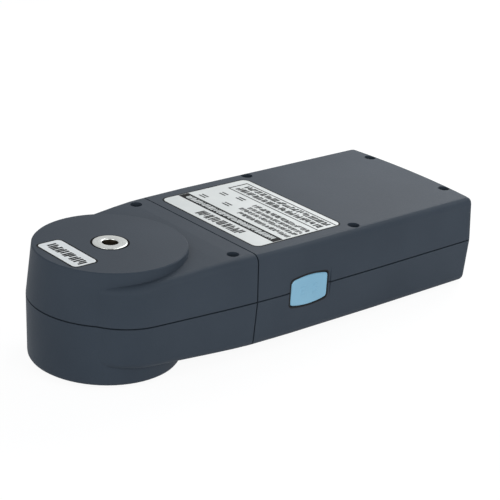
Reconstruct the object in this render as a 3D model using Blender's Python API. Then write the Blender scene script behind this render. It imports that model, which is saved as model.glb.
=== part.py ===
"""Handheld colorimeter, lying on its display side as it is put down, label side up.

The origin is on the measuring axis, on the surface it rests on. +X runs to the far end of the
handle, +Z out of the label face, and the measure button is on the -Y side. Units are metres.
"""

import math

import bmesh
import bpy
from mathutils import Matrix, Vector

# Casing, outside
BODY_T = 0.0406
LABEL_SHELL_T = 0.0200
DISC_RISE = 0.0019
BOSS_DROP = 0.0058
DISC_R = 0.0314
DISC_BEVEL = 0.0004
BOSS_R = 0.0314
BOSS_FORWARD = 0.0012
BOSS_EDGE_R = 0.0018
NOSE_R = 0.0332
HEAD_CORNER_X = -0.0014
HEAD_CORNER_R = 0.0250
HEAD_HALF_W = 0.0366
SEAM_X = 0.0450
SEAM_HALF_W = 0.0404
MIDDLE_X = 0.1000
MIDDLE_HALF_W = 0.0411
END_X = 0.1753
END_HALF_W = 0.0402
END_BULGE = 0.0026
END_CORNER_R = 0.0036
EDGE_R = 0.0034
LABEL_RAMP_START_X = 0.0380
DISPLAY_RAMP_START_X = 0.0450
RAMP_EASE = 0.0060
LABEL_RAMP_SLOPE = 0.070
DISPLAY_RAMP_SLOPE = 0.040
DRAFT = math.tan(math.radians(3.5))

# Casing, inside
WALL = 0.0023
INNER_CORNER_R = 0.0015
CAP_WALL = 0.0025
CAP_RIM = 0.0028
HUB_R = 0.0110
HUB_T = 0.0052

# Fits
GAP = 0.0003
OVERRUN = 0.0010

# Casing screws, in wells on the label side
WELL_R = 0.0026
WELL_DEPTH = 0.0170
WELL_TUBE_R = 0.0035
POST_R = 0.0032
SCREW_HEAD_R = 0.0022
SCREW_HEAD_H = 0.0016
SCREW_R = 0.0011
SCREW_L = 0.0100
DRIVE_R = 0.0009
DRIVE_DEPTH = 0.0008
SCREW_SHOULDER_SHARE = 0.6
SCREW_CROWN_SHARE = 0.8
PILOT_DEPTH = 0.0120
HEAD_SCREW_X = 0.0373
HEAD_SCREW_INSET = 0.0077
MIDDLE_SCREW_X = 0.1015
MIDDLE_SCREW_INSET = 0.0062
END_SCREW_FROM_END = 0.0070
END_SCREW_INSET = 0.0164

# Aperture ring
RING_R = 0.00715
RING_BORE_R = 0.0034
RING_T = 0.0022
RING_PROUD = 0.0003
RING_BEVEL = 0.0004
RING_NECK_R = 0.0048
RING_NECK_L = 0.0030

# Labels
LABEL_T = 0.0002
RATING_X = 0.0503
RATING_L = 0.0474
RATING_W = 0.0630
RATING_CORNER_R = 0.0030
SERIAL_X = -0.0264
SERIAL_L = 0.0110
SERIAL_W = 0.0264
SERIAL_CORNER_R = 0.0020

# Measure button and its switch
BUTTON_X = 0.0729
BUTTON_BELOW_PARTING = 0.0006
BUTTON_L = 0.0200
BUTTON_H = 0.0112
BUTTON_CROWN = 0.0010
BUTTON_CORNER_R = 0.0012
BUTTON_SUNK = 0.0001
BUTTON_GAP = 0.0005
BUTTON_BEVEL = 0.0004
BUTTON_TRAVEL = 0.0008
POCKET_MARGIN = 0.0020
POCKET_DEPTH = 0.0004
FLANGE_T = 0.0010
FLANGE_MARGIN = 0.0010
POST_TIP_R = 0.0015
POST_TIP_L = 0.0010
SWITCH_BODY = 0.0060
SWITCH_BODY_T = 0.0035
SWITCH_PLUNGER_R = 0.00175
SWITCH_PLUNGER_L = 0.0012
SWITCH_BOARD_L = 0.0180
SWITCH_BOARD_ABOVE = 0.0050

# Display
WINDOW_X = 0.0830
WINDOW_L = 0.0560
WINDOW_SIDE_ROOM = 0.0092
WINDOW_CORNER_R = 0.0030
WINDOW_T = 0.0012
WINDOW_SET_BACK = 0.0001
VIEW_MARGIN = 0.0045
LCD_MARGIN = 0.0015

# Keys
KEY_ROW_X = 0.1250
KEY_PITCH_X = 0.0165
KEY_PITCH_Y = 0.0230
KEY_R = 0.0055
KEY_PROUD = 0.0006
KEY_FLANGE_MARGIN = 0.0010
KEY_FLANGE_T = 0.0008
KEY_STEM_R = 0.0020
KEY_BEVEL = 0.0003
KEY_TRAVEL = 0.0005
MAT_T = 0.0010
MAT_MARGIN = 0.0035

# Main board
BOARD_T = 0.0016
BOARD_START_X = 0.0500
BOARD_END_X = 0.1640
BOARD_SIDE_ROOM = 0.0090
BOARD_TAB_HALF_W = 0.0100
BOARD_TAB_L = 0.0065
BOARD_ABOVE_FLOOR = 0.0065
BOARD_HOLE_INSET = 0.0030
BOARD_POST_R = 0.0026
BOARD_SCREW_R = 0.0010
BOARD_SCREW_HEAD_R = 0.0019
BOARD_SCREW_HEAD_H = 0.0012
BOARD_SCREW_L = 0.0055
CHIP_SIZE = 0.0120
CHIP_T = 0.0014
CHIP_X = 0.0930
BUZZER_R = 0.0045
BUZZER_H = 0.0040
BUZZER_X = 0.0580
BUZZER_SIDE_ROOM = 0.0115

# USB socket
USB_W = 0.0077
USB_H = 0.0040
USB_L = 0.0092
USB_SHEET = 0.0004
USB_TONGUE_T = 0.0010
USB_TONGUE_L = 0.0060
USB_Y = 0.0000

# Battery
BATTERY_X = 0.1100
BATTERY_L = 0.0550
BATTERY_W = 0.0380
BATTERY_H = 0.0120
BATTERY_CORNER_R = 0.0020
FOAM_T = 0.0008
FOAM_MARGIN = 0.0050
LEAD_R = 0.0010
LEAD_DROP = 0.0040
LEAD_OUT = 0.0060
PLUG_L = 0.0060
PLUG_W = 0.0075
PLUG_H = 0.0060

# Optics
DOME_R = 0.0130
DOME_WALL = 0.0020
DOME_PORT_R = 0.0052
DOME_FLANGE_R = 0.0190
DOME_FLANGE_T = 0.0015
DOME_SCREW_PCD_R = 0.0160
DOME_SCREW_R = 0.0008
DOME_SCREW_HEAD_R = 0.0015
DOME_SCREW_HEAD_H = 0.0010
LED_BOARD_T = 0.0012
LED_BOARD_R = 0.0210
LED_PCD_R = 0.0080
LED_R = 0.0015
LED_H = 0.0022
LED_TIP_SHARE = 0.5
BRACKET_L = 0.0440
BRACKET_W = 0.0380
BRACKET_T = 0.0015
BRACKET_CORNER_R = 0.0040
BRACKET_HOLE_INSET = 0.0042
BRACKET_POST_R = 0.0030
BRACKET_SCREW_L = 0.0060
TUBE_R = 0.0048
TUBE_BORE_R = 0.0030
TUBE_L = 0.0190
TUBE_PROUD = 0.0010
LENS_T = 0.0016
LENS_SEAT = 0.0010
LENS_EDGE_SHARE = 0.6
LENS_SHOULDER_SHARE = 0.85
LENS_CROWN_SHARE = 0.7
SENSOR_BOARD_L = 0.0320
SENSOR_BOARD_W = 0.0240
SENSOR_BOARD_T = 0.0012
SENSOR_SIZE = 0.0036
SENSOR_T = 0.0010
SENSOR_POST_R = 0.0025
SENSOR_HOLE_INSET = 0.0035

# Flat cables from the optics to the main board
CABLE_T = 0.0004
CABLE_LAP = 0.0060
SENSOR_CABLE_W = 0.0120
SENSOR_CABLE_Y = -0.0040
LED_CABLE_W = 0.0060
LED_CABLE_Y = 0.0080
LED_CABLE_LAP = 0.0020

# Counts
ARC_STEPS = 8
HEAD_CORNER_STEPS = 12
LEAD_STEPS = 9
HEAD_SIDE_STEPS = 6
BODY_SIDE_STEPS = 11
CORNER_STEPS = 5
END_STEPS = 5
EDGE_STEPS = 4
BIG_ROUND = 64
MEDIUM_ROUND = 24
SMALL_ROUND = 12
LED_COUNT = 4
DOME_SCREW_COUNT = 3
DOME_RINGS = 5
CABLE_STEPS = 12

# Levels and places that follow from the sizes above
DISPLAY_Z = BOSS_DROP
LABEL_Z = DISPLAY_Z + BODY_T
PARTING_Z = LABEL_Z - LABEL_SHELL_T
DISPLAY_SHELL_T = BODY_T - LABEL_SHELL_T
DISC_Z = LABEL_Z + DISC_RISE
LABEL_CEILING_Z = LABEL_Z - WALL
DISPLAY_FLOOR_Z = DISPLAY_Z + WALL
BOARD_Z = DISPLAY_FLOOR_Z + BOARD_ABOVE_FLOOR
BOARD_TOP_Z = BOARD_Z + BOARD_T
BOARD_HALF_W = min(SEAM_HALF_W, MIDDLE_HALF_W, END_HALF_W) - BOARD_SIDE_ROOM
WINDOW_W = 2 * (BOARD_HALF_W - WINDOW_SIDE_ROOM)
BUZZER_Y = BOARD_HALF_W - BUZZER_SIDE_ROOM
WELL_SEAT_Z = LABEL_Z - WELL_DEPTH
SHANK_HOLE_R = SCREW_R + GAP
RING_TOP_Z = DISC_Z + RING_PROUD
RING_SEAT_Z = RING_TOP_Z - RING_T - GAP
DOME_Z = DISC_Z - HUB_T - GAP - DOME_R
LED_BOARD_Z = DOME_Z - GAP - LED_BOARD_T
BRACKET_Z = LED_BOARD_Z - GAP - BRACKET_T
TUBE_TOP_Z = LED_BOARD_Z + LED_BOARD_T + TUBE_PROUD
TUBE_Z = TUBE_TOP_Z - TUBE_L
SENSOR_BOARD_TOP_Z = TUBE_Z - GAP
SENSOR_BOARD_Z = SENSOR_BOARD_TOP_Z - SENSOR_BOARD_T


for leftover in list(bpy.data.objects):
    bpy.data.objects.remove(leftover, do_unlink=True)


def linear(hex_colour):
    """Turns an sRGB hex colour into Blender's linear numbers."""
    channels = [int(hex_colour[i : i + 2], 16) / 255 for i in (0, 2, 4)]
    return [c / 12.92 if c <= 0.04045 else ((c + 0.055) / 1.055) ** 2.4 for c in channels] + [1.0]


def material(name, hex_colour, roughness, metallic=0.0, alpha=1.0):
    made = bpy.data.materials.new(name)
    made.use_nodes = True
    shader = made.node_tree.nodes["Principled BSDF"]
    shader.inputs["Base Color"].default_value = linear(hex_colour)
    shader.inputs["Roughness"].default_value = roughness
    shader.inputs["Metallic"].default_value = metallic
    shader.inputs["Alpha"].default_value = alpha
    made.diffuse_color = linear(hex_colour)
    return made


CASING = material("slate_abs", "4a5057", 0.55)
BUTTON = material("blue_abs", "86b2ca", 0.45)
STEEL = material("turned_steel", "c9c9c6", 0.25, 1.0)
ZINC = material("zinc_screw", "8f9296", 0.35, 1.0)
PAPER = material("label_film", "cdd0cd", 0.5)
KEY = material("key_abs", "9aa1a6", 0.5)
SILICONE = material("silicone", "3a3d40", 0.7)
ACRYLIC = material("acrylic", "20262b", 0.08, 0.0, 0.6)
LCD = material("lcd_module", "7f8a7c", 0.4)
BOARD = material("green_board", "24513a", 0.5)
CHIP = material("black_epoxy", "1b1c1e", 0.6)
WRAP = material("battery_wrap", "2f5c8a", 0.4)
FOAM = material("foam", "d8d8d2", 0.9)
WHITE = material("white_optics", "f2f2ef", 0.8)
BLACK = material("black_optics", "17181a", 0.7)
GLASS = material("lens_glass", "e6f0f2", 0.03, 0.0, 0.35)
LED = material("led_body", "efe9c8", 0.25)
CABLE = material("flat_cable", "b98a3c", 0.45)
PLUG = material("white_plug", "dedbd2", 0.5)


def empty(name, location=(0, 0, 0)):
    made = bpy.data.objects.new(name, None)
    made.location = location
    bpy.context.scene.collection.objects.link(made)
    return made


CASING_GROUP = empty("casing")
OPTICS_GROUP = empty("optics")
ELECTRONICS_GROUP = empty("electronics", (0, 0, BOARD_Z))
CONTROLS_GROUP = empty("controls")


def solid(name, bm, looks=None, group=None, origin=(0, 0, 0), smooth=math.radians(35)):
    """Makes an object of a bmesh built in world places, with its own origin at the point given."""
    bmesh.ops.recalc_face_normals(bm, faces=bm.faces)
    mesh = bpy.data.meshes.new(name)
    bmesh.ops.translate(bm, verts=bm.verts, vec=-Vector(origin))
    bm.to_mesh(mesh)
    bm.free()
    mesh.shade_smooth()
    mesh.set_sharp_from_angle(angle=smooth)
    made = bpy.data.objects.new(name, mesh)
    bpy.context.scene.collection.objects.link(made)
    made.location = origin
    if group:
        made.parent = group
        made.location = Vector(origin) - group.location
    if looks:
        mesh.materials.append(looks)
    return made


def joined(name, sources, looks=None, group=None, origin=(0, 0, 0)):
    """Copies several bmeshes into one object, each a separate body."""
    bm = bmesh.new()
    for source in sources:
        mesh = bpy.data.meshes.new(name + "_body")
        bmesh.ops.recalc_face_normals(source, faces=source.faces)
        source.to_mesh(mesh)
        source.free()
        bm.from_mesh(mesh)
        bpy.data.meshes.remove(mesh)
    return solid(name, bm, looks, group, origin)


def combine(target, operation, *others):
    """Adds a Boolean modifier for each helper, which is then left out of the model."""
    for other in others:
        step = target.modifiers.new(other.name, "BOOLEAN")
        step.operation = operation
        step.object = other
        other.hide_render = True
        other.display_type = "WIRE"


def cut(target, *others):
    combine(target, "DIFFERENCE", *others)


def add(target, *others):
    combine(target, "UNION", *others)


def prism(outline, axis, low, high):
    """Extrudes a closed outline along the axis named. Its points are in the other two axes, in order."""
    orders = {
        "x": lambda a, b, c: (c, a, b),
        "y": lambda a, b, c: (a, c, b),
        "z": lambda a, b, c: (a, b, c),
    }
    places = orders[axis]
    bm = bmesh.new()
    rings = [[bm.verts.new(places(a, b, level)) for a, b in outline] for level in (low, high)]
    bm.faces.new(rings[0])
    bm.faces.new(reversed(rings[1]))
    for i in range(len(outline)):
        j = (i + 1) % len(outline)
        bm.faces.new((rings[0][i], rings[1][i], rings[1][j], rings[0][j]))
    return bm


def turned(profile, segments, centre=(0, 0)):
    """Spins a closed profile of (radius, height) points about the upright line through centre."""
    bm = bmesh.new()
    rings = []
    for r, z in profile:
        if r == 0:
            rings.append([bm.verts.new((centre[0], centre[1], z))])
            continue
        ring = []
        for k in range(segments):
            angle = 2 * math.pi * k / segments
            ring.append(bm.verts.new((centre[0] + r * math.cos(angle), centre[1] + r * math.sin(angle), z)))
        rings.append(ring)
    for this, following in zip(rings, rings[1:] + rings[:1]):
        for k in range(segments):
            j = (k + 1) % segments
            corners = [this[k % len(this)], this[j % len(this)]]
            corners += [following[j % len(following)], following[k % len(following)]]
            corners = list(dict.fromkeys(corners))
            if len(corners) > 2:
                bm.faces.new(corners)
    return bm


def rod(radius, low, high, segments, centre=(0, 0)):
    return turned([(0, low), (radius, low), (radius, high), (0, high)], segments, centre)


def pipe(radius, bore, low, high, segments, centre=(0, 0)):
    return turned([(bore, low), (radius, low), (radius, high), (bore, high)], segments, centre)


def block(x0, x1, y0, y1, z0, z1):
    return prism([(x0, y0), (x1, y0), (x1, y1), (x0, y1)], "z", z0, z1)


def rounded(a0, a1, b0, b1, radius, steps=CORNER_STEPS):
    """A rectangle with round corners, counter-clockwise."""
    points = []
    a_low, a_high = a0 + radius, a1 - radius
    b_low, b_high = b0 + radius, b1 - radius
    corners = ((a_high, b_high), (a_low, b_high), (a_low, b_low), (a_high, b_low))
    for quarter, (a, b) in enumerate(corners):
        for k in range(steps + 1):
            angle = math.pi / 2 * (quarter + k / steps)
            points.append((a + radius * math.cos(angle), b + radius * math.sin(angle)))
    return points


def hermite(p0, t0, p1, t1, s):
    """The point at share s of a curve that leaves p0 along t0 and reaches p1 along t1."""
    a = 2 * s**3 - 3 * s**2 + 1
    b = s**3 - 2 * s**2 + s
    c = 3 * s**2 - 2 * s**3
    d = s**3 - s**2
    return p0 * a + t0 * b + p1 * c + t1 * d


# Plan of the casing

SIDE_STATIONS = (
    (0.0, HEAD_HALF_W),
    (SEAM_X, SEAM_HALF_W),
    (MIDDLE_X, MIDDLE_HALF_W),
    (END_X, END_HALF_W),
)


def side_slopes():
    """The slope of the side at each station, the middle ones from their neighbours."""
    steps = [(b[1] - a[1]) / (b[0] - a[0]) for a, b in zip(SIDE_STATIONS, SIDE_STATIONS[1:])]
    return [steps[0]] + [(a + b) / 2 for a, b in zip(steps, steps[1:])] + [steps[-1]]


def half_width(x):
    """Half the width of the casing at the parting line."""
    slopes = side_slopes()
    for i in range(len(SIDE_STATIONS) - 1):
        (x0, y0), (x1, y1) = SIDE_STATIONS[i : i + 2]
        if x <= x1 or i == len(SIDE_STATIONS) - 2:
            span = x1 - x0
            return hermite(y0, slopes[i] * span, y1, slopes[i + 1] * span, (x - x0) / span)


def end_x(y, inset):
    return END_X - inset - END_BULGE * (y / END_HALF_W) ** 2


def head_half_plan(inset, to_x):
    """The head block's outline on the +Y side. Its blunt front is hidden inside the round end."""
    radius = HEAD_CORNER_R - inset
    lean = math.atan(side_slopes()[0])
    touch_x = HEAD_CORNER_X - radius * math.sin(lean)
    corner_y = half_width(touch_x) - inset - radius * math.cos(lean)
    points = [(HEAD_CORNER_X - radius - OVERRUN, 0.0)]
    for k in range(HEAD_CORNER_STEPS + 1):
        a = math.pi + (lean - math.pi / 2) * k / HEAD_CORNER_STEPS
        points.append((HEAD_CORNER_X + radius * math.cos(a), corner_y + radius * math.sin(a)))
    for k in range(1, HEAD_SIDE_STEPS + 1):
        x = touch_x + (to_x - touch_x) * k / HEAD_SIDE_STEPS
        points.append((x, half_width(x) - inset))
    return points


def body_half_plan(inset, from_x):
    """The handle's outline on the +Y side, from from_x to the middle of the far end."""
    corner = max(END_CORNER_R - inset, INNER_CORNER_R)
    turn_x = END_X - END_BULGE - inset - corner
    corner_y = half_width(turn_x) - inset - corner
    lean = 2 * END_BULGE * corner_y / END_HALF_W**2
    turn_x = end_x(corner_y + corner * math.sin(lean), inset) - corner * math.cos(lean)
    points = []
    for k in range(BODY_SIDE_STEPS):
        x = from_x + (turn_x - from_x) * k / BODY_SIDE_STEPS
        points.append((x, half_width(x) - inset))
    for k in range(CORNER_STEPS + 1):
        a = math.pi / 2 + (lean - math.pi / 2) * k / CORNER_STEPS
        points.append((turn_x + corner * math.cos(a), corner_y + corner * math.sin(a)))
    last_y = points[-1][1]
    for k in range(1, END_STEPS + 1):
        y = last_y * (1 - k / END_STEPS)
        points.append((end_x(y, inset), y))
    return points


def lofted(half_plan, plan_x, levels, base_z, face_z):
    """A casing half as a closed block. A level is an inset, and a share of the height up to face_z(x)."""
    bm = bmesh.new()
    lefts, rights = [], []
    for inset, share in levels:
        left, right = [], []
        for x, y in half_plan(inset, plan_x):
            z = base_z + share * (face_z(x) - base_z)
            vert = bm.verts.new((x, y, z))
            left.append(vert)
            right.append(vert if y == 0 else bm.verts.new((x, -y, z)))
        lefts.append(left)
        rights.append(right)
    count = len(lefts[0])
    for rows in (lefts, rights):
        for low, high in zip(rows, rows[1:]):
            for i in range(count - 1):
                bm.faces.new((low[i], low[i + 1], high[i + 1], high[i]))
    for row in (0, -1):
        for i in range(count - 1):
            corners = (lefts[row][i], lefts[row][i + 1], rights[row][i + 1], rights[row][i])
            bm.faces.new(tuple(dict.fromkeys(corners)))
    open_end = 0 if lefts[0][0] is not rights[0][0] else -1
    loop = [row[open_end] for row in lefts] + [row[open_end] for row in reversed(rights)]
    bm.faces.new(loop)
    return bm


def outer_levels(height):
    wall_share = 1 - EDGE_R / height
    wall_inset = DRAFT * (height - EDGE_R)
    levels = [(0.0, 0.0)]
    for k in range(EDGE_STEPS + 1):
        a = math.pi / 2 * k / EDGE_STEPS
        levels.append((wall_inset + EDGE_R * (1 - math.cos(a)), wall_share + EDGE_R / height * math.sin(a)))
    return levels


def inner_levels(height):
    wall_inset = WALL + DRAFT * (height - EDGE_R)
    edge = max(EDGE_R - WALL, GAP)
    return [
        (WALL, -OVERRUN / height),
        (wall_inset, 1 - EDGE_R / height),
        (wall_inset + edge, 1 - WALL / height),
    ]


def ramp(x, start, slope):
    """How far the head's face has dropped at x, easing in from start towards the nose."""
    run = max(start - x, 0.0)
    return slope * run * run / (run + RAMP_EASE)


def label_face_z(x):
    return LABEL_Z - ramp(x, LABEL_RAMP_START_X, LABEL_RAMP_SLOPE)


def display_face_z(x):
    return DISPLAY_Z + ramp(x, DISPLAY_RAMP_START_X, DISPLAY_RAMP_SLOPE)


def screw_pair(x, inset):
    y = half_width(x) - inset
    return [(x, y), (x, -y)]


HEAD_SCREWS = screw_pair(HEAD_SCREW_X, HEAD_SCREW_INSET)
BODY_SCREWS = screw_pair(MIDDLE_SCREW_X, MIDDLE_SCREW_INSET)
BODY_SCREWS += screw_pair(END_X - END_SCREW_FROM_END, END_SCREW_INSET)

# The four shells, before their details


def shell(name, half_plan, plan_x, inner_x, base_z, face_z, height):
    outer = lofted(half_plan, plan_x, outer_levels(height), base_z, face_z)
    inner = lofted(half_plan, inner_x, inner_levels(height), base_z, face_z)
    outside = solid(name, outer, CASING, CASING_GROUP)
    inside = solid(name + "_inside", inner)
    return outside, inside


UPPER_Z = PARTING_Z + GAP / 2
LOWER_Z = PARTING_Z - GAP / 2
HEAD_TO_X = SEAM_X - GAP / 2
BODY_FROM_X = SEAM_X + GAP / 2

head_label_shell, head_label_inside = shell(
    "head_label_shell",
    head_half_plan,
    HEAD_TO_X,
    SEAM_X + OVERRUN,
    UPPER_Z,
    label_face_z,
    LABEL_SHELL_T,
)
head_display_shell, head_display_inside = shell(
    "head_display_shell",
    head_half_plan,
    HEAD_TO_X,
    SEAM_X + OVERRUN,
    LOWER_Z,
    display_face_z,
    DISPLAY_SHELL_T,
)
body_label_shell, body_label_inside = shell(
    "body_label_shell",
    body_half_plan,
    BODY_FROM_X,
    SEAM_X - OVERRUN,
    UPPER_Z,
    label_face_z,
    LABEL_SHELL_T,
)
body_display_shell, body_display_inside = shell(
    "body_display_shell",
    body_half_plan,
    BODY_FROM_X,
    SEAM_X - OVERRUN,
    LOWER_Z,
    display_face_z,
    DISPLAY_SHELL_T,
)


def disc_with_hub():
    """The round end of the head, with the measuring face that stands out of the sloping label face."""
    profile = [
        (0, UPPER_Z),
        (NOSE_R, UPPER_Z),
        (DISC_R, DISC_Z - DISC_BEVEL),
        (DISC_R - DISC_BEVEL, DISC_Z),
        (0, DISC_Z),
    ]
    disc = solid("measuring_disc", turned(profile, BIG_ROUND))
    inner_r = DISC_R - CAP_RIM
    hollow = solid("disc_hollow", rod(inner_r, PARTING_Z - OVERRUN, DISC_Z - CAP_WALL, MEDIUM_ROUND))
    hub = solid("ring_hub", rod(HUB_R, DISC_Z - HUB_T, DISC_Z - CAP_WALL / 2, MEDIUM_ROUND))
    return disc, hollow, hub


def boss():
    """The round foot on the display side, which the instrument lies on. It leans forward a little."""
    profile = [(0, 0)]
    for k in range(EDGE_STEPS + 1):
        a = math.pi / 2 * k / EDGE_STEPS
        profile.append((BOSS_R - BOSS_EDGE_R * (1 - math.sin(a)), BOSS_EDGE_R * (1 - math.cos(a))))
    profile += [(NOSE_R, LOWER_Z), (0, LOWER_Z)]
    cone = turned(profile, BIG_ROUND)
    for vert in cone.verts:
        vert.co.x -= BOSS_FORWARD * (1 - vert.co.z / LOWER_Z)
    foot = solid("display_boss", cone)
    middle = (-BOSS_FORWARD / 2, 0)
    hollow = solid("boss_hollow", rod(BOSS_R - CAP_RIM, CAP_WALL, PARTING_Z + OVERRUN, MEDIUM_ROUND, middle))
    return foot, hollow


def screw_tubes(name, places):
    """The label shell's tubes with their wells and shank holes, as one body to add and one to cut."""
    tubes = [rod(WELL_TUBE_R, UPPER_Z, LABEL_Z - WALL / 2, SMALL_ROUND, p) for p in places]
    wells = []
    for place in places:
        floor_z = UPPER_Z - OVERRUN
        profile = [(0, floor_z), (SHANK_HOLE_R, floor_z), (SHANK_HOLE_R, WELL_SEAT_Z), (WELL_R, WELL_SEAT_Z)]
        profile += [(WELL_R, LABEL_Z + OVERRUN), (0, LABEL_Z + OVERRUN)]
        wells.append(turned(profile, MEDIUM_ROUND, place))
    return joined(name + "_tubes", tubes), joined(name + "_wells", wells)


def screw_posts(name, places):
    """The display shell's posts, which the casing screws bite into."""
    top_z = LOWER_Z
    posts = [rod(POST_R, DISPLAY_Z + WALL / 2, top_z, SMALL_ROUND, p) for p in places]
    pilots = [rod(SHANK_HOLE_R, top_z - PILOT_DEPTH, top_z + OVERRUN, SMALL_ROUND, p) for p in places]
    return joined(name + "_posts", posts), joined(name + "_pilots", pilots)


def posts_on_floor(name, places, radius, floor_z, top_z, hole_r, hole_depth):
    posts = [rod(radius, floor_z - WALL / 2, top_z, SMALL_ROUND, p) for p in places]
    holes = [rod(hole_r, top_z - hole_depth, top_z + OVERRUN, SMALL_ROUND, p) for p in places]
    return joined(name + "_posts", posts), joined(name + "_holes", holes)


# Labels and their shallow beds


def label_outline(x, length, width, radius, grow=0.0):
    return rounded(x - grow, x + length + grow, -width / 2 - grow, width / 2 + grow, radius + grow)


def label(name, x, length, width, radius, face_z):
    top = face_z + LABEL_T - GAP / 2
    film = prism(label_outline(x, length, width, radius), "z", top - LABEL_T, top)
    bed = prism(label_outline(x, length, width, radius, GAP), "z", top - LABEL_T - GAP, face_z + OVERRUN)
    return solid(name, film, PAPER, CASING_GROUP, (x, 0, face_z)), solid(name + "_bed", bed)


rating_label, rating_bed = label("rating_label", RATING_X, RATING_L, RATING_W, RATING_CORNER_R, LABEL_Z)
serial_label, serial_bed = label("serial_label", SERIAL_X, SERIAL_L, SERIAL_W, SERIAL_CORNER_R, DISC_Z)

# Aperture ring

RING_PROFILE = [
    (RING_BORE_R, RING_SEAT_Z + GAP - RING_NECK_L),
    (RING_NECK_R, RING_SEAT_Z + GAP - RING_NECK_L),
    (RING_NECK_R, RING_SEAT_Z + GAP),
    (RING_R, RING_SEAT_Z + GAP),
    (RING_R, RING_TOP_Z - RING_BEVEL),
    (RING_R - RING_BEVEL, RING_TOP_Z),
    (RING_BORE_R + RING_BEVEL, RING_TOP_Z),
    (RING_BORE_R, RING_TOP_Z - RING_BEVEL),
]
aperture_ring = solid("aperture_ring", turned(RING_PROFILE, MEDIUM_ROUND), STEEL, OPTICS_GROUP)
ring_seat_profile = [
    (0, DISC_Z - HUB_T - OVERRUN),
    (RING_NECK_R + GAP, DISC_Z - HUB_T - OVERRUN),
    (RING_NECK_R + GAP, RING_SEAT_Z),
    (RING_R + GAP, RING_SEAT_Z),
    (RING_R + GAP, DISC_Z + OVERRUN),
    (0, DISC_Z + OVERRUN),
]
ring_seat = solid("ring_seat", turned(ring_seat_profile, MEDIUM_ROUND))

# Head label shell

measuring_disc, disc_hollow, ring_hub = disc_with_hub()
head_tubes, head_wells = screw_tubes("head", HEAD_SCREWS)
add(head_label_shell, measuring_disc)
cut(head_label_shell, head_label_inside, disc_hollow)
add(head_label_shell, ring_hub, head_tubes)
cut(head_label_shell, head_wells, ring_seat, serial_bed)

# Head display shell, with the posts for the optics bracket and the sensor board

BRACKET_HOLES = [
    (sx * (BRACKET_L / 2 - BRACKET_HOLE_INSET), sy * (BRACKET_W / 2 - BRACKET_HOLE_INSET))
    for sx in (1, -1)
    for sy in (1, -1)
]
SENSOR_HOLES = [(0.0, sy * (SENSOR_BOARD_W / 2 - SENSOR_HOLE_INSET)) for sy in (1, -1)]
BOARD_SHANK_HOLE_R = BOARD_SCREW_R + GAP

display_boss, boss_hollow = boss()
head_posts, head_pilots = screw_posts("head", HEAD_SCREWS)
bracket_posts, bracket_holes = posts_on_floor(
    "bracket", BRACKET_HOLES, BRACKET_POST_R, CAP_WALL, BRACKET_Z - GAP, BOARD_SHANK_HOLE_R, BRACKET_SCREW_L
)
sensor_posts, sensor_holes = posts_on_floor(
    "sensor",
    SENSOR_HOLES,
    SENSOR_POST_R,
    CAP_WALL,
    SENSOR_BOARD_Z - GAP,
    BOARD_SHANK_HOLE_R,
    BOARD_SCREW_L,
)
add(head_display_shell, display_boss)
cut(head_display_shell, head_display_inside, boss_hollow)
add(head_display_shell, head_posts, bracket_posts, sensor_posts)
cut(head_display_shell, head_pilots, bracket_holes, sensor_holes)

# Measure button, in a pocket across the parting line of the handle

BUTTON_Z = PARTING_Z - BUTTON_BELOW_PARTING
WALL_Y = half_width(BUTTON_X)
BUTTON_FACE_Y = -(WALL_Y - BUTTON_SUNK)
FLANGE_END_WALL_Y = half_width(BUTTON_X - BUTTON_L / 2 - FLANGE_MARGIN) - WALL
FLANGE_FRONT_Y = -(FLANGE_END_WALL_Y - DRAFT * BUTTON_H / 2 - 2 * GAP)
FLANGE_BACK_Y = FLANGE_FRONT_Y + FLANGE_T
POST_TIP_Y = FLANGE_BACK_Y + POST_TIP_L
SWITCH_TIP_Y = POST_TIP_Y + BUTTON_TRAVEL + GAP / 2
SWITCH_BODY_Y = SWITCH_TIP_Y + SWITCH_PLUNGER_L
SWITCH_BOARD_Y = SWITCH_BODY_Y + SWITCH_BODY_T + GAP


def crowned(length, height, crown, radius, grow=0.0):
    """The button's outline: straight sides, and a top and bottom that bow out."""
    half_l = length / 2 + grow
    half_h = height / 2 + grow
    points = []
    for side in (1, -1):
        arc = []
        for k in range(ARC_STEPS + 1):
            s = 1 - 2 * k / ARC_STEPS
            arc.append((s * (half_l - radius), half_h + crown * (1 - s * s)))
        cut_back = radius * (1 - math.sqrt(0.5))
        ends = [(half_l, half_h - radius), (half_l - cut_back, half_h - cut_back)]
        corner = ends + arc + [(-a, b) for a, b in reversed(ends)]
        points += [(BUTTON_X + side * a, BUTTON_Z + side * b) for a, b in corner]
    return points


def button_outline(grow=0.0):
    return crowned(BUTTON_L, BUTTON_H, BUTTON_CROWN, BUTTON_CORNER_R, grow)


def button_cap():
    """The cap, as rings of its outline that draw in towards the face and so round its edge."""
    soft = BUTTON_BEVEL * (1 - math.sqrt(0.5))
    steps = (
        (FLANGE_FRONT_Y + FLANGE_T / 2, 0.0),
        (BUTTON_FACE_Y + BUTTON_BEVEL, 0.0),
        (BUTTON_FACE_Y + soft, -soft),
        (BUTTON_FACE_Y, -BUTTON_BEVEL),
    )
    bm = bmesh.new()
    rings = [[bm.verts.new((a, y, b)) for a, b in button_outline(grow)] for y, grow in steps]
    bm.faces.new(rings[0])
    bm.faces.new(reversed(rings[-1]))
    for low, high in zip(rings, rings[1:]):
        for i in range(len(low)):
            j = (i + 1) % len(low)
            bm.faces.new((low[i], high[i], high[j], low[j]))
    return bm


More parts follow.
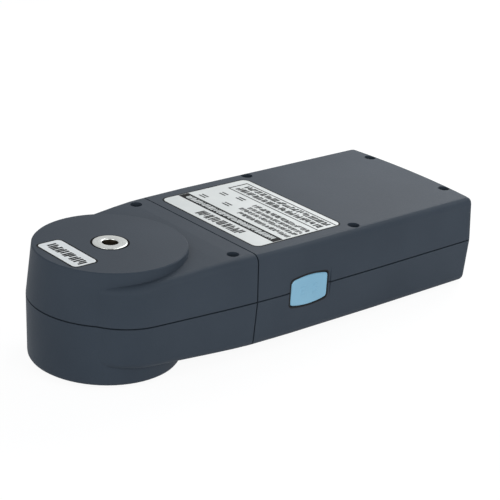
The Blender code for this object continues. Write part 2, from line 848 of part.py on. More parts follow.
def button():
    made = solid("measure_button", button_cap(), BUTTON, CONTROLS_GROUP, (BUTTON_X, BUTTON_FACE_Y, BUTTON_Z))
    flange = solid("button_flange", prism(button_outline(FLANGE_MARGIN), "y", FLANGE_FRONT_Y, FLANGE_BACK_Y))
    tip = rod(POST_TIP_R, 0, POST_TIP_Y - FLANGE_BACK_Y + FLANGE_T / 4, SMALL_ROUND)
    bmesh.ops.rotate(tip, verts=tip.verts, matrix=Matrix.Rotation(-math.pi / 2, 3, "X"))
    bmesh.ops.translate(tip, verts=tip.verts, vec=(BUTTON_X, FLANGE_BACK_Y - FLANGE_T / 4, BUTTON_Z))
    add(made, flange, solid("button_tip", tip))
    return made


measure_button = button()
pocket_outer_y = -(WALL_Y + OVERRUN)
button_pocket = solid(
    "button_pocket", prism(button_outline(POCKET_MARGIN), "y", pocket_outer_y, -(WALL_Y - POCKET_DEPTH))
)
button_way = solid(
    "button_way", prism(button_outline(BUTTON_GAP), "y", pocket_outer_y, -(WALL_Y - WALL - OVERRUN))
)


def tact_switch():
    half = SWITCH_BODY / 2
    back_y = SWITCH_BODY_Y + SWITCH_BODY_T
    case = block(BUTTON_X - half, BUTTON_X + half, SWITCH_BODY_Y, back_y, BUTTON_Z - half, BUTTON_Z + half)
    made = solid("tact_switch", case, CHIP, ELECTRONICS_GROUP, (BUTTON_X, SWITCH_BODY_Y, BUTTON_Z))
    plunger = rod(SWITCH_PLUNGER_R, 0, SWITCH_PLUNGER_L + GAP, SMALL_ROUND)
    bmesh.ops.rotate(plunger, verts=plunger.verts, matrix=Matrix.Rotation(-math.pi / 2, 3, "X"))
    bmesh.ops.translate(plunger, verts=plunger.verts, vec=(BUTTON_X, SWITCH_TIP_Y, BUTTON_Z))
    add(made, solid("switch_plunger", plunger))
    return made


tact_switch()
solid(
    "switch_board",
    block(
        BUTTON_X - SWITCH_BOARD_L / 2,
        BUTTON_X + SWITCH_BOARD_L / 2,
        SWITCH_BOARD_Y,
        SWITCH_BOARD_Y + BOARD_T,
        BOARD_TOP_Z + GAP,
        BUTTON_Z + SWITCH_BOARD_ABOVE,
    ),
    BOARD,
    ELECTRONICS_GROUP,
    (BUTTON_X, SWITCH_BOARD_Y, BOARD_TOP_Z + GAP),
)

# Body label shell

body_tubes, body_wells = screw_tubes("body", BODY_SCREWS)
cut(body_label_shell, body_label_inside)
add(body_label_shell, body_tubes)
cut(body_label_shell, body_wells, rating_bed, button_pocket, button_way)

# Display window, and the keys

WINDOW_SEAT_Z = DISPLAY_Z + WINDOW_SET_BACK + WINDOW_T + GAP
window_bed = solid(
    "window_bed",
    prism(
        rounded(
            WINDOW_X - WINDOW_L / 2 - GAP,
            WINDOW_X + WINDOW_L / 2 + GAP,
            -WINDOW_W / 2 - GAP,
            WINDOW_W / 2 + GAP,
            WINDOW_CORNER_R + GAP,
        ),
        "z",
        DISPLAY_Z - OVERRUN,
        WINDOW_SEAT_Z,
    ),
)
view_hole = solid(
    "view_hole",
    block(
        WINDOW_X - WINDOW_L / 2 + VIEW_MARGIN,
        WINDOW_X + WINDOW_L / 2 - VIEW_MARGIN,
        -WINDOW_W / 2 + VIEW_MARGIN,
        WINDOW_W / 2 - VIEW_MARGIN,
        DISPLAY_Z - OVERRUN,
        DISPLAY_FLOOR_Z + OVERRUN,
    ),
)
solid(
    "display_window",
    prism(
        rounded(
            WINDOW_X - WINDOW_L / 2,
            WINDOW_X + WINDOW_L / 2,
            -WINDOW_W / 2,
            WINDOW_W / 2,
            WINDOW_CORNER_R,
        ),
        "z",
        DISPLAY_Z + WINDOW_SET_BACK,
        DISPLAY_Z + WINDOW_SET_BACK + WINDOW_T,
    ),
    ACRYLIC,
    CASING_GROUP,
    (WINDOW_X, 0, DISPLAY_Z + WINDOW_SET_BACK),
)
solid(
    "lcd_module",
    block(
        WINDOW_X - WINDOW_L / 2 - LCD_MARGIN,
        WINDOW_X + WINDOW_L / 2 + LCD_MARGIN,
        -WINDOW_W / 2 - LCD_MARGIN,
        WINDOW_W / 2 + LCD_MARGIN,
        DISPLAY_FLOOR_Z + GAP,
        BOARD_Z - GAP,
    ),
    LCD,
    ELECTRONICS_GROUP,
    (WINDOW_X, 0, BOARD_Z - GAP),
)

KEYS = {
    "key_up": (KEY_ROW_X + KEY_PITCH_X, KEY_PITCH_Y),
    "key_down": (KEY_ROW_X + KEY_PITCH_X, -KEY_PITCH_Y),
    "key_enter": (KEY_ROW_X + KEY_PITCH_X, 0.0),
    "key_menu": (KEY_ROW_X, KEY_PITCH_Y / 2),
    "key_power": (KEY_ROW_X, -KEY_PITCH_Y / 2),
}
KEY_FACE_Z = DISPLAY_Z - KEY_PROUD
KEY_FLANGE_Z = DISPLAY_FLOOR_Z + GAP
MAT_TOP_Z = BOARD_Z - GAP
MAT_Z = MAT_TOP_Z - MAT_T
KEY_STEM_Z = MAT_Z - KEY_TRAVEL - GAP


def key(name, place):
    profile = [
        (0, KEY_FACE_Z),
        (KEY_R - KEY_BEVEL, KEY_FACE_Z),
        (KEY_R, KEY_FACE_Z + KEY_BEVEL),
        (KEY_R, KEY_FLANGE_Z),
        (KEY_R + KEY_FLANGE_MARGIN, KEY_FLANGE_Z),
        (KEY_R + KEY_FLANGE_MARGIN, KEY_FLANGE_Z + KEY_FLANGE_T),
        (KEY_STEM_R, KEY_FLANGE_Z + KEY_FLANGE_T),
        (KEY_STEM_R, KEY_STEM_Z),
        (0, KEY_STEM_Z),
    ]
    body = turned(profile, MEDIUM_ROUND, place)
    solid(name, body, KEY, CONTROLS_GROUP, (place[0], place[1], KEY_FACE_Z))


for key_name, key_place in KEYS.items():
    key(key_name, key_place)
key_ways = joined(
    "key_ways",
    [
        rod(KEY_R + GAP, DISPLAY_Z - OVERRUN, DISPLAY_FLOOR_Z + OVERRUN, MEDIUM_ROUND, place)
        for place in KEYS.values()
    ],
)
solid(
    "keypad_mat",
    prism(
        rounded(
            KEY_ROW_X - KEY_R - MAT_MARGIN,
            KEY_ROW_X + KEY_PITCH_X + KEY_R + MAT_MARGIN,
            -KEY_PITCH_Y - KEY_R,
            KEY_PITCH_Y + KEY_R,
            MAT_MARGIN,
        ),
        "z",
        MAT_Z,
        MAT_TOP_Z,
    ),
    SILICONE,
    ELECTRONICS_GROUP,
    (KEY_ROW_X, 0, MAT_Z),
)

# Main board and what stands on it

BOARD_HOLES = [
    (x, side * (BOARD_HALF_W - BOARD_HOLE_INSET))
    for x in (BOARD_START_X + BOARD_HOLE_INSET, BOARD_END_X - BOARD_HOLE_INSET)
    for side in (1, -1)
]


def board_outline():
    """The main board's outline, with a tab under the USB socket."""
    half = [
        (BOARD_START_X, BOARD_HALF_W),
        (BOARD_END_X, BOARD_HALF_W),
        (BOARD_END_X, BOARD_TAB_HALF_W),
        (BOARD_END_X + BOARD_TAB_L, BOARD_TAB_HALF_W),
    ]
    return half + [(x, -y) for x, y in reversed(half)]


main_board = solid(
    "main_board",
    prism(board_outline(), "z", BOARD_Z, BOARD_TOP_Z),
    BOARD,
    ELECTRONICS_GROUP,
    (BOARD_START_X, 0, BOARD_Z),
)
cut(
    main_board,
    joined(
        "board_screw_ways",
        [
            rod(BOARD_SHANK_HOLE_R, BOARD_Z - OVERRUN, BOARD_TOP_Z + OVERRUN, SMALL_ROUND, p)
            for p in BOARD_HOLES
        ],
    ),
)


def screw_bm(place, seat_z, head_r, head_h, shank_r, length, segments):
    """A pan-head screw pointing down, with a square drive in its head."""
    drive_r = head_r * DRIVE_R / SCREW_HEAD_R
    drive_z = seat_z + head_h - head_h * DRIVE_DEPTH / SCREW_HEAD_H
    profile = [
        (0, seat_z - length),
        (shank_r, seat_z - length),
        (shank_r, seat_z),
        (head_r, seat_z),
        (head_r, seat_z + head_h * SCREW_SHOULDER_SHARE),
        (head_r * SCREW_CROWN_SHARE, seat_z + head_h),
        (drive_r, seat_z + head_h),
        (drive_r, drive_z),
        (0, drive_z),
    ]
    return turned(profile, segments, place)


def copies(name, first, places, group):
    """Puts a copy of the first piece, on the same mesh, at each further place."""
    first.name = name + "_1"
    for number, place in enumerate(places[1:], start=2):
        made = first.copy()
        made.name = name + "_" + str(number)
        made.location = Vector((place[0], place[1], first.location.z))
        bpy.context.scene.collection.objects.link(made)


def screws(name, places, seat_z, head_r, head_h, shank_r, length, group):
    body = screw_bm(places[0], seat_z, head_r, head_h, shank_r, length, SMALL_ROUND)
    first = solid(name + "_1", body, ZINC, group, (places[0][0], places[0][1], seat_z))
    copies(name, first, places, group)


CASING_SCREW = (WELL_SEAT_Z + GAP, SCREW_HEAD_R, SCREW_HEAD_H, SCREW_R, SCREW_L, CASING_GROUP)
screws("head_screw", HEAD_SCREWS, *CASING_SCREW)
screws("body_screw", BODY_SCREWS, *CASING_SCREW)
SMALL_SCREW = (BOARD_SCREW_HEAD_R, BOARD_SCREW_HEAD_H, BOARD_SCREW_R)
screws("board_screw", BOARD_HOLES, BOARD_TOP_Z + GAP, *SMALL_SCREW, BOARD_SCREW_L, ELECTRONICS_GROUP)
CHIPS_Z = BOARD_TOP_Z + GAP
solid(
    "processor",
    block(
        CHIP_X - CHIP_SIZE / 2,
        CHIP_X + CHIP_SIZE / 2,
        -CHIP_SIZE / 2,
        CHIP_SIZE / 2,
        CHIPS_Z,
        CHIPS_Z + CHIP_T,
    ),
    CHIP,
    ELECTRONICS_GROUP,
    (CHIP_X, 0, CHIPS_Z),
)
solid(
    "buzzer",
    rod(BUZZER_R, BOARD_TOP_Z + GAP, BOARD_TOP_Z + GAP + BUZZER_H, MEDIUM_ROUND, (BUZZER_X, BUZZER_Y)),
    CHIP,
    ELECTRONICS_GROUP,
    (BUZZER_X, BUZZER_Y, BOARD_TOP_Z + GAP),
)

# USB socket, at the far end

USB_Z = BOARD_TOP_Z + GAP
END_INNER_X = end_x(0.0, WALL + DRAFT * (PARTING_Z - USB_Z))
USB_MOUTH_X = END_INNER_X - GAP
usb_socket = solid(
    "usb_socket",
    block(USB_MOUTH_X - USB_L, USB_MOUTH_X, USB_Y - USB_W / 2, USB_Y + USB_W / 2, USB_Z, USB_Z + USB_H),
    STEEL,
    ELECTRONICS_GROUP,
    (USB_MOUTH_X, USB_Y, USB_Z),
)
usb_back_x = USB_MOUTH_X - USB_TONGUE_L - USB_SHEET
usb_hollow = solid(
    "usb_hollow",
    block(
        usb_back_x,
        USB_MOUTH_X + OVERRUN,
        USB_Y - USB_W / 2 + USB_SHEET,
        USB_Y + USB_W / 2 - USB_SHEET,
        USB_Z + USB_SHEET,
        USB_Z + USB_H - USB_SHEET,
    ),
)
usb_tongue_z = USB_Z + USB_H / 2
usb_tongue = solid(
    "usb_tongue",
    block(
        usb_back_x - USB_SHEET,
        USB_MOUTH_X - USB_SHEET,
        USB_Y - USB_W / 4,
        USB_Y + USB_W / 4,
        usb_tongue_z - USB_TONGUE_T / 2,
        usb_tongue_z + USB_TONGUE_T / 2,
    ),
)
cut(usb_socket, usb_hollow)
add(usb_socket, usb_tongue)
usb_way = solid(
    "usb_way",
    prism(
        rounded(
            USB_Y - USB_W / 2 - GAP,
            USB_Y + USB_W / 2 + GAP,
            USB_Z - GAP,
            USB_Z + USB_H + GAP,
            INNER_CORNER_R,
        ),
        "x",
        END_INNER_X - OVERRUN,
        END_X + OVERRUN,
    ),
)

# Body display shell

body_posts, body_pilots = screw_posts("body", BODY_SCREWS)
board_posts, board_holes = posts_on_floor(
    "board", BOARD_HOLES, BOARD_POST_R, DISPLAY_FLOOR_Z, BOARD_Z - GAP, BOARD_SHANK_HOLE_R, BOARD_SCREW_L
)
cut(body_display_shell, body_display_inside)
add(body_display_shell, body_posts, board_posts)
cut(
    body_display_shell,
    body_pilots,
    board_holes,
    button_pocket,
    button_way,
    window_bed,
    view_hole,
    key_ways,
    usb_way,
)

# Battery, hung from the label shell on foam tape, and its lead

FOAM_TOP_Z = LABEL_CEILING_Z - GAP
BATTERY_TOP_Z = FOAM_TOP_Z - FOAM_T - GAP
BATTERY_Z = BATTERY_TOP_Z - BATTERY_H
solid(
    "battery_foam",
    block(
        BATTERY_X + FOAM_MARGIN,
        BATTERY_X + BATTERY_L - FOAM_MARGIN,
        -BATTERY_W / 2 + FOAM_MARGIN,
        BATTERY_W / 2 - FOAM_MARGIN,
        FOAM_TOP_Z - FOAM_T,
        FOAM_TOP_Z,
    ),
    FOAM,
    ELECTRONICS_GROUP,
    (BATTERY_X + BATTERY_L / 2, 0, FOAM_TOP_Z),
)
solid(
    "battery_pack",
    prism(
        rounded(BATTERY_X, BATTERY_X + BATTERY_L, -BATTERY_W / 2, BATTERY_W / 2, BATTERY_CORNER_R),
        "z",
        BATTERY_Z,
        BATTERY_TOP_Z,
    ),
    WRAP,
    ELECTRONICS_GROUP,
    (BATTERY_X, 0, BATTERY_Z),
)
PLUG_TOP_Z = BOARD_TOP_Z + GAP + PLUG_H
LEAD_X = BATTERY_X - LEAD_OUT
solid(
    "battery_plug",
    block(
        LEAD_X - PLUG_L / 2,
        LEAD_X + PLUG_L / 2,
        -PLUG_W / 2,
        PLUG_W / 2,
        PLUG_TOP_Z - PLUG_H,
        PLUG_TOP_Z,
    ),
    PLUG,
    ELECTRONICS_GROUP,
    (LEAD_X, 0, PLUG_TOP_Z - PLUG_H),
)


def battery_lead():
    """A short lead out of the pack's end, turning down into the plug."""
    high_z = BATTERY_Z + LEAD_DROP
    curve = bpy.data.curves.new("battery_lead", "CURVE")
    curve.dimensions = "3D"
    curve.bevel_depth = LEAD_R
    curve.bevel_resolution = 2
    curve.use_fill_caps = True
    line = curve.splines.new("POLY")
    start = Vector((BATTERY_X - GAP, 0, high_z))
    finish = Vector((LEAD_X, 0, PLUG_TOP_Z + GAP))
    leaving = Vector((-2 * LEAD_OUT, 0, 0))
    arriving = Vector((0, 0, -2 * LEAD_OUT))
    line.points.add(LEAD_STEPS)
    for k, point in enumerate(line.points):
        place = hermite(start, leaving, finish, arriving, k / LEAD_STEPS)
        point.co = (*place, 1.0)
    curve.materials.append(CHIP)
    made = bpy.data.objects.new("battery_lead", curve)
    bpy.context.scene.collection.objects.link(made)
    made.parent = ELECTRONICS_GROUP
    made.location = -ELECTRONICS_GROUP.location
    return made


battery_lead()

# Light source: a white dome behind the aperture, over a board of lamps


def around(count, radius, turn=0.0):
    angles = [2 * math.pi * k / count + turn for k in range(count)]
    return [(radius * math.cos(a), radius * math.sin(a)) for a in angles]


def dome_bm():
    """A thin half sphere with a flange at its foot and a port at its top."""
    inner_r = DOME_R - DOME_WALL
    inner_start = math.asin(DOME_PORT_R / inner_r)
    outer_start = math.asin(DOME_PORT_R / DOME_R)
    flange_angle = math.acos(DOME_FLANGE_T / DOME_R)
    profile = []
    for k in range(DOME_RINGS + 1):
        a = inner_start + (math.pi / 2 - inner_start) * k / DOME_RINGS
        profile.append((inner_r * math.sin(a), DOME_Z + inner_r * math.cos(a)))
    profile += [(DOME_FLANGE_R, DOME_Z), (DOME_FLANGE_R, DOME_Z + DOME_FLANGE_T)]
    for k in range(DOME_RINGS + 1):
        a = flange_angle + (outer_start - flange_angle) * k / DOME_RINGS
        profile.append((DOME_R * math.sin(a), DOME_Z + DOME_R * math.cos(a)))
    return turned(profile, MEDIUM_ROUND)


DOME_SCREWS = around(DOME_SCREW_COUNT, DOME_SCREW_PCD_R, math.pi / 2)
dome_screw_ways = joined(
    "dome_screw_ways",
    [
        rod(DOME_SCREW_R + GAP, BRACKET_Z - OVERRUN, DOME_Z + DOME_FLANGE_T + OVERRUN, SMALL_ROUND, p)
        for p in DOME_SCREWS
    ],
)
diffuser_dome = solid("diffuser_dome", dome_bm(), WHITE, OPTICS_GROUP, (0, 0, DOME_Z))
led_board = solid(
    "led_board",
    pipe(LED_BOARD_R, TUBE_R + GAP, LED_BOARD_Z, LED_BOARD_Z + LED_BOARD_T, MEDIUM_ROUND),
    BOARD,
    OPTICS_GROUP,
    (0, 0, LED_BOARD_Z),
)
cut(diffuser_dome, dome_screw_ways)
cut(led_board, dome_screw_ways)
screws(
    "dome_screw",
    DOME_SCREWS,
    DOME_Z + DOME_FLANGE_T + GAP,
    DOME_SCREW_HEAD_R,
    DOME_SCREW_HEAD_H,
    DOME_SCREW_R,
    DOME_FLANGE_T + LED_BOARD_T + BRACKET_T + 2 * GAP,
    OPTICS_GROUP,
)
LED_Z = LED_BOARD_Z + LED_BOARD_T + GAP
LEDS = around(LED_COUNT, LED_PCD_R, math.pi / 4)
led_profile = [
    (0, LED_Z),
    (LED_R, LED_Z),
    (LED_R, LED_Z + LED_H * LED_TIP_SHARE),
    (LED_R * LED_TIP_SHARE, LED_Z + LED_H),
    (0, LED_Z + LED_H),
]
first_led = solid(
    "led_1", turned(led_profile, SMALL_ROUND, LEDS[0]), LED, OPTICS_GROUP, (LEDS[0][0], LEDS[0][1], LED_Z)
)
copies("led", first_led, LEDS, OPTICS_GROUP)

# Optics bracket, which carries the dome and the lamps on four posts

optics_bracket = solid(
    "optics_bracket",
    prism(
        rounded(-BRACKET_L / 2, BRACKET_L / 2, -BRACKET_W / 2, BRACKET_W / 2, BRACKET_CORNER_R),
        "z",
        BRACKET_Z,
        BRACKET_Z + BRACKET_T,
    ),
    ZINC,
    OPTICS_GROUP,
    (0, 0, BRACKET_Z),
)
tube_way = solid(
    "tube_way", rod(TUBE_R + GAP, BRACKET_Z - OVERRUN, BRACKET_Z + BRACKET_T + OVERRUN, MEDIUM_ROUND)
)
bracket_ways = joined(
    "bracket_ways",
    [
        rod(BOARD_SHANK_HOLE_R, BRACKET_Z - OVERRUN, BRACKET_Z + BRACKET_T + OVERRUN, SMALL_ROUND, p)
        for p in BRACKET_HOLES
    ],
)
cut(optics_bracket, tube_way, bracket_ways, dome_screw_ways)
screws(
    "bracket_screw",
    BRACKET_HOLES,
    BRACKET_Z + BRACKET_T + GAP,
    *SMALL_SCREW,
    BRACKET_SCREW_L,
    OPTICS_GROUP,
)

# Receiver: a tube with a lens, over the sensor and its board

LENS_WELL_R = TUBE_BORE_R + LENS_SEAT
LENS_R = LENS_WELL_R - GAP
LENS_Z = TUBE_TOP_Z - LENS_T
solid(
    "sensor_tube",
    turned(
        [
            (TUBE_BORE_R, TUBE_Z),
            (TUBE_R, TUBE_Z),
            (TUBE_R, TUBE_TOP_Z),
            (LENS_WELL_R, TUBE_TOP_Z),
            (LENS_WELL_R, LENS_Z - GAP),
            (TUBE_BORE_R, LENS_Z - GAP),
        ],
        MEDIUM_ROUND,
    ),
    BLACK,
    OPTICS_GROUP,
    (0, 0, TUBE_Z),
)
solid(
    "receiver_lens",
    turned(
        [
            (0, LENS_Z),
            (LENS_R, LENS_Z),
            (LENS_R, LENS_Z + LENS_T * LENS_EDGE_SHARE),
            (LENS_R * LENS_CROWN_SHARE, LENS_Z + LENS_T * LENS_SHOULDER_SHARE),
            (0, LENS_Z + LENS_T),
        ],
        MEDIUM_ROUND,
    ),
    GLASS,
    OPTICS_GROUP,
    (0, 0, LENS_Z),
)
sensor_board = solid(
    "sensor_board",
    block(
        -SENSOR_BOARD_L / 2,
        SENSOR_BOARD_L / 2,
        -SENSOR_BOARD_W / 2,
        SENSOR_BOARD_W / 2,
        SENSOR_BOARD_Z,
        SENSOR_BOARD_TOP_Z,
    ),
    BOARD,
    OPTICS_GROUP,
    (0, 0, SENSOR_BOARD_Z),
)
cut(
    sensor_board,
    joined(
        "sensor_screw_ways",
        [
            rod(BOARD_SHANK_HOLE_R, SENSOR_BOARD_Z - OVERRUN, SENSOR_BOARD_TOP_Z + OVERRUN, SMALL_ROUND, p)
            for p in SENSOR_HOLES
        ],
    ),
)
screws("sensor_screw", SENSOR_HOLES, SENSOR_BOARD_TOP_Z + GAP, *SMALL_SCREW, BOARD_SCREW_L, OPTICS_GROUP)
SENSOR_Z = SENSOR_BOARD_TOP_Z + GAP
solid(
    "sensor_chip",
    block(
        -SENSOR_SIZE / 2,
        SENSOR_SIZE / 2,
        -SENSOR_SIZE / 2,
        SENSOR_SIZE / 2,
        SENSOR_Z,
        SENSOR_Z + SENSOR_T,
    ),
    CHIP,
    OPTICS_GROUP,
    (0, 0, SENSOR_Z),
)

# Flat cables, from the lamps and the sensor to the main board


def flat_cable(name, width, y, start_x, start_z, lap):
    """A flat strip, lapped on a board at each end, with an easy bend between."""
    finish_z = BOARD_TOP_Z + GAP + CABLE_T / 2
    start = Vector((start_x, 0, start_z + GAP + CABLE_T / 2))
    bend = start + Vector((lap, 0, 0))
    finish = Vector((BOARD_START_X, 0, finish_z))
    reach = Vector((finish.x - bend.x, 0, 0))
    line = [start] + [hermite(bend, reach, finish, reach, k / CABLE_STEPS) for k in range(CABLE_STEPS + 1)]
    line.append(Vector((BOARD_START_X + CABLE_LAP, 0, finish_z)))
    sides = []
    for i, point in enumerate(line):
        along = (line[min(i + 1, len(line) - 1)] - line[max(i - 1, 0)]).normalized()
        across = Vector((-along.z, 0, along.x)) * CABLE_T / 2
        sides.append((point + across, point - across))
    outline = [(p.x, p.z) for p, _ in sides] + [(p.x, p.z) for _, p in reversed(sides)]
    strip = prism(outline, "y", y - width / 2, y + width / 2)
    return solid(name, strip, CABLE, ELECTRONICS_GROUP, (BOARD_START_X, y, finish_z))


flat_cable(
    "sensor_cable",
    SENSOR_CABLE_W,
    SENSOR_CABLE_Y,
    SENSOR_BOARD_L / 2 - CABLE_LAP,
    SENSOR_BOARD_TOP_Z,
    CABLE_LAP,
)
flat_cable(
    "led_cable",
    LED_CABLE_W,
    LED_CABLE_Y,
    LED_BOARD_R - LED_CABLE_LAP,
    LED_BOARD_Z + LED_BOARD_T,
    LED_CABLE_LAP,
)
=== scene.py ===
import math
import random

import bmesh
import bpy
from mathutils import Matrix, Vector, geometry
from mathutils.bvhtree import BVHTree


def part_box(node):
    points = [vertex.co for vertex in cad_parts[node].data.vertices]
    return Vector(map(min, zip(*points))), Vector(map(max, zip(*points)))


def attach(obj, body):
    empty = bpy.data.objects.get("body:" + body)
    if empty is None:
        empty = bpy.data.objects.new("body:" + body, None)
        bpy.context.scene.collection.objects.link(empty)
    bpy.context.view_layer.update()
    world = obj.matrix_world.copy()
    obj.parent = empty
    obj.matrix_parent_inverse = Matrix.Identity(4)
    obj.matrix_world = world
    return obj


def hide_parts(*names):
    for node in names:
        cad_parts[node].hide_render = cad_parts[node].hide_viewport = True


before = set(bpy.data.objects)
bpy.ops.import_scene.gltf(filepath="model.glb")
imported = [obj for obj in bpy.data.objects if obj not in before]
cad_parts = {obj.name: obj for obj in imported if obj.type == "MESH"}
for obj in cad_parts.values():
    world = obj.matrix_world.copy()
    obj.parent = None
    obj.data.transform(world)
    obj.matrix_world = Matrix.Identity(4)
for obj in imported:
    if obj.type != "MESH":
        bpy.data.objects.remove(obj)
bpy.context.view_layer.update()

# Camera
# It looks down on the label side from the round end, through a long lens, as the photograph
# does. Place and direction were fitted to the casing's outline, screw wells, label and disc.

camera_data = bpy.data.cameras.new("camera")
camera_data.lens = 122.992
camera_data.sensor_width = 36.0
camera_data.clip_start = 0.01
camera = bpy.data.objects.new("camera", camera_data)
bpy.context.scene.collection.objects.link(camera)
bpy.context.scene.camera = camera
camera_place = Vector((-0.3790030, -0.5069441, 0.3093418))
camera_right = Vector((0.7601043, -0.6468853, 0.0614884))
camera_up = Vector((0.2045121, 0.3279720, 0.9222848))
camera_back = Vector((-0.6167789, -0.6884575, 0.3815888))
camera_turn = Matrix((camera_right, camera_up, camera_back)).transposed().to_4x4()
camera.matrix_world = Matrix.Translation(camera_place) @ camera_turn

# Table and light
# A plain white painted table, with a low softbox over the far end of the object and large soft
# panels in front and at its round end. The table lies along the foot and the far edge, which
# both touch it.


def linear(hex_colour):
    """Turns an sRGB hex colour into linear values."""
    parts = [int(hex_colour[i : i + 2], 16) / 255 for i in (1, 3, 5)]
    return [p / 12.92 if p <= 0.04045 else ((p + 0.055) / 1.055) ** 2.4 for p in parts] + [1.0]


def node(material, kind, inputs=None, **settings):
    """Adds one shader node: its settings, then values or links for its inputs by name or number."""
    made = material.node_tree.nodes.new("ShaderNode" + kind)
    for name, value in settings.items():
        setattr(made, name, value)
    for name, value in (inputs or {}).items():
        if isinstance(value, bpy.types.NodeSocket):
            material.node_tree.links.new(value, made.inputs[name])
        else:
            made.inputs[name].default_value = value
    return made


def mesh_object(name, bm, smooth=30):
    """Turns a bmesh in world places into an object with outward faces, smooth below an angle."""
    bmesh.ops.recalc_face_normals(bm, faces=bm.faces)
    mesh = bpy.data.meshes.new(name)
    bm.to_mesh(mesh)
    bm.free()
    mesh.shade_smooth()
    mesh.set_sharp_from_angle(angle=math.radians(smooth))
    made = bpy.data.objects.new(name, mesh)
    bpy.context.scene.collection.objects.link(made)
    return made


def seen_directly(material):
    """1 for rays from the camera, from gloss and through glass, and 0 for light on the object."""
    rays = node(material, "LightPath").outputs
    direct = {0: rays["Is Camera Ray"], 1: rays["Is Glossy Ray"]}
    direct = node(material, "Math", direct, operation="MAXIMUM").outputs[0]
    either = {0: direct, 1: rays["Is Transmission Ray"]}
    return node(material, "Math", either, operation="MAXIMUM").outputs[0]


table_reach = 4.0
foot_edge_x = 0.0300
far_edge_x, far_edge_z = 0.1720, 0.0058
table_slope = far_edge_z / (far_edge_x - foot_edge_x)
table_gap = 0.0002
table_tilt = Matrix.Rotation(-math.atan(table_slope), 3, "Y")
table_bm = bmesh.new()
bmesh.ops.create_grid(table_bm, x_segments=1, y_segments=1, size=table_reach)
bmesh.ops.rotate(table_bm, verts=table_bm.verts, matrix=table_tilt)
bmesh.ops.translate(table_bm, verts=table_bm.verts, vec=(0, 0, -foot_edge_x * table_slope - table_gap))
table = mesh_object("table", table_bm)

# Seen directly, the paint is a plain white that still takes the object's shadow.
painted_table = bpy.data.materials.new("white painted table")
painted_table.use_nodes = True
painted_table.node_tree.nodes.clear()
matt_white = node(painted_table, "BsdfDiffuse", {"Color": linear("#f0f0f0")})
shaded_white = node(painted_table, "BsdfDiffuse", {"Color": linear("#5c5c5c")})
lifted = node(painted_table, "Emission", {"Color": linear("#ffffff"), "Strength": 0.925})
lifted_white = node(painted_table, "AddShader", {0: shaded_white.outputs[0], 1: lifted.outputs[0]})
table_parts = {0: seen_directly(painted_table), 1: matt_white.outputs[0], 2: lifted_white.outputs[0]}
table_mix = node(painted_table, "MixShader", table_parts)
node(painted_table, "OutputMaterial", {"Surface": table_mix.outputs[0]})
table.data.materials.append(painted_table)

world = bpy.data.worlds.new("studio")
bpy.context.scene.world = world
world.use_nodes = True
world.node_tree.nodes.clear()
room = node(world, "Background", {"Color": linear("#e4ebf4"), "Strength": 0.40})
white = node(world, "Background", {"Color": linear("#ffffff"), "Strength": 1.0})
world_parts = {0: seen_directly(world), 1: room.outputs[0], 2: white.outputs[0]}
world_mix = node(world, "MixShader", world_parts)
node(world, "OutputWorld", {"Surface": world_mix.outputs[0]})


def lamp(name, place, target, size, power):
    """A round area lamp at a place, turned to a target. Metres and watts."""
    data = bpy.data.lights.new(name, "AREA")
    data.shape = "DISK"
    data.size = size
    data.energy = power
    made = bpy.data.objects.new(name, data)
    made.location = place
    made.rotation_euler = (Vector(target) - Vector(place)).to_track_quat("-Z", "Y").to_euler()
    bpy.context.scene.collection.objects.link(made)


lamp("top softbox", (0.42, 0.16, 0.36), (0.14, 0, 0.03), 0.36, 1.9)
lamp("front panel", (0.15, -1.0, 0.40), (0.07, 0, 0.03), 0.8, 5.6)
lamp("end panel", (-1.0, -0.30, 0.40), (0.0, 0, 0.03), 0.8, 5.4)
bpy.context.scene.view_settings.view_transform = "Standard"

# Casing
# Four shells injection moulded in slate-grey ABS: the measuring head and the handle, each split
# along the parting line. The mould's spark texture makes them matt, with a soft sheen on edges.


def finish(name, **constants):
    """A new material, with constant values on its shader's own sockets. Underscores stand for spaces."""
    made = bpy.data.materials.new(name)
    made.use_nodes = True
    shader = made.node_tree.nodes["Principled BSDF"]
    for key, value in constants.items():
        shader.inputs[key.replace("_", " ")].default_value = value
    return made


def two_tones(material, pattern, first, second):
    """A slow change between two close colours, driven by a pattern."""
    ramp = node(material, "ValToRGB", {"Fac": pattern})
    for end, place, colour in zip(ramp.color_ramp.elements, (0.3, 0.7), (first, second)):
        end.position = place
        end.color = linear(colour)
    return ramp.outputs["Color"]


def surface(material, colour, haze, relief=None):
    """Feeds a shader its colour. haze is a pattern and its least and most roughness, relief a
    pattern, its strength and its depth in metres."""
    shader = material.node_tree.nodes["Principled BSDF"]
    links = material.node_tree.links
    links.new(colour, shader.inputs["Base Color"])
    rough = node(material, "MapRange", {"Value": haze[0], "To Min": haze[1], "To Max": haze[2]})
    links.new(rough.outputs["Result"], shader.inputs["Roughness"])
    if relief:
        bumps = node(material, "Bump", {"Height": relief[0], "Strength": relief[1], "Distance": relief[2]})
        links.new(bumps.outputs["Normal"], shader.inputs["Normal"])


def speckle(material, size, detail):
    """A cloudy pattern through the object, with specks of about this size in metres."""
    place = node(material, "TexCoord").outputs["Object"]
    return node(material, "TexNoise", {"Vector": place, "Scale": 1 / size, "Detail": detail}).outputs["Fac"]


def moulded_plastic(name, first, second, grain, matt, pits, **constants):
    """Moulded plastic: its tone drifts over 35 mm, and the mould's grain shows in sheen and pits."""
    made = finish(name, **constants)
    grains = speckle(made, grain, 3.0)
    drift = speckle(made, 0.035, 2.0)
    tone = two_tones(made, drift, first, second)
    surface(made, tone, (grains, matt - 0.06, matt + 0.06), (grains, pits, 0.0001))
    return made


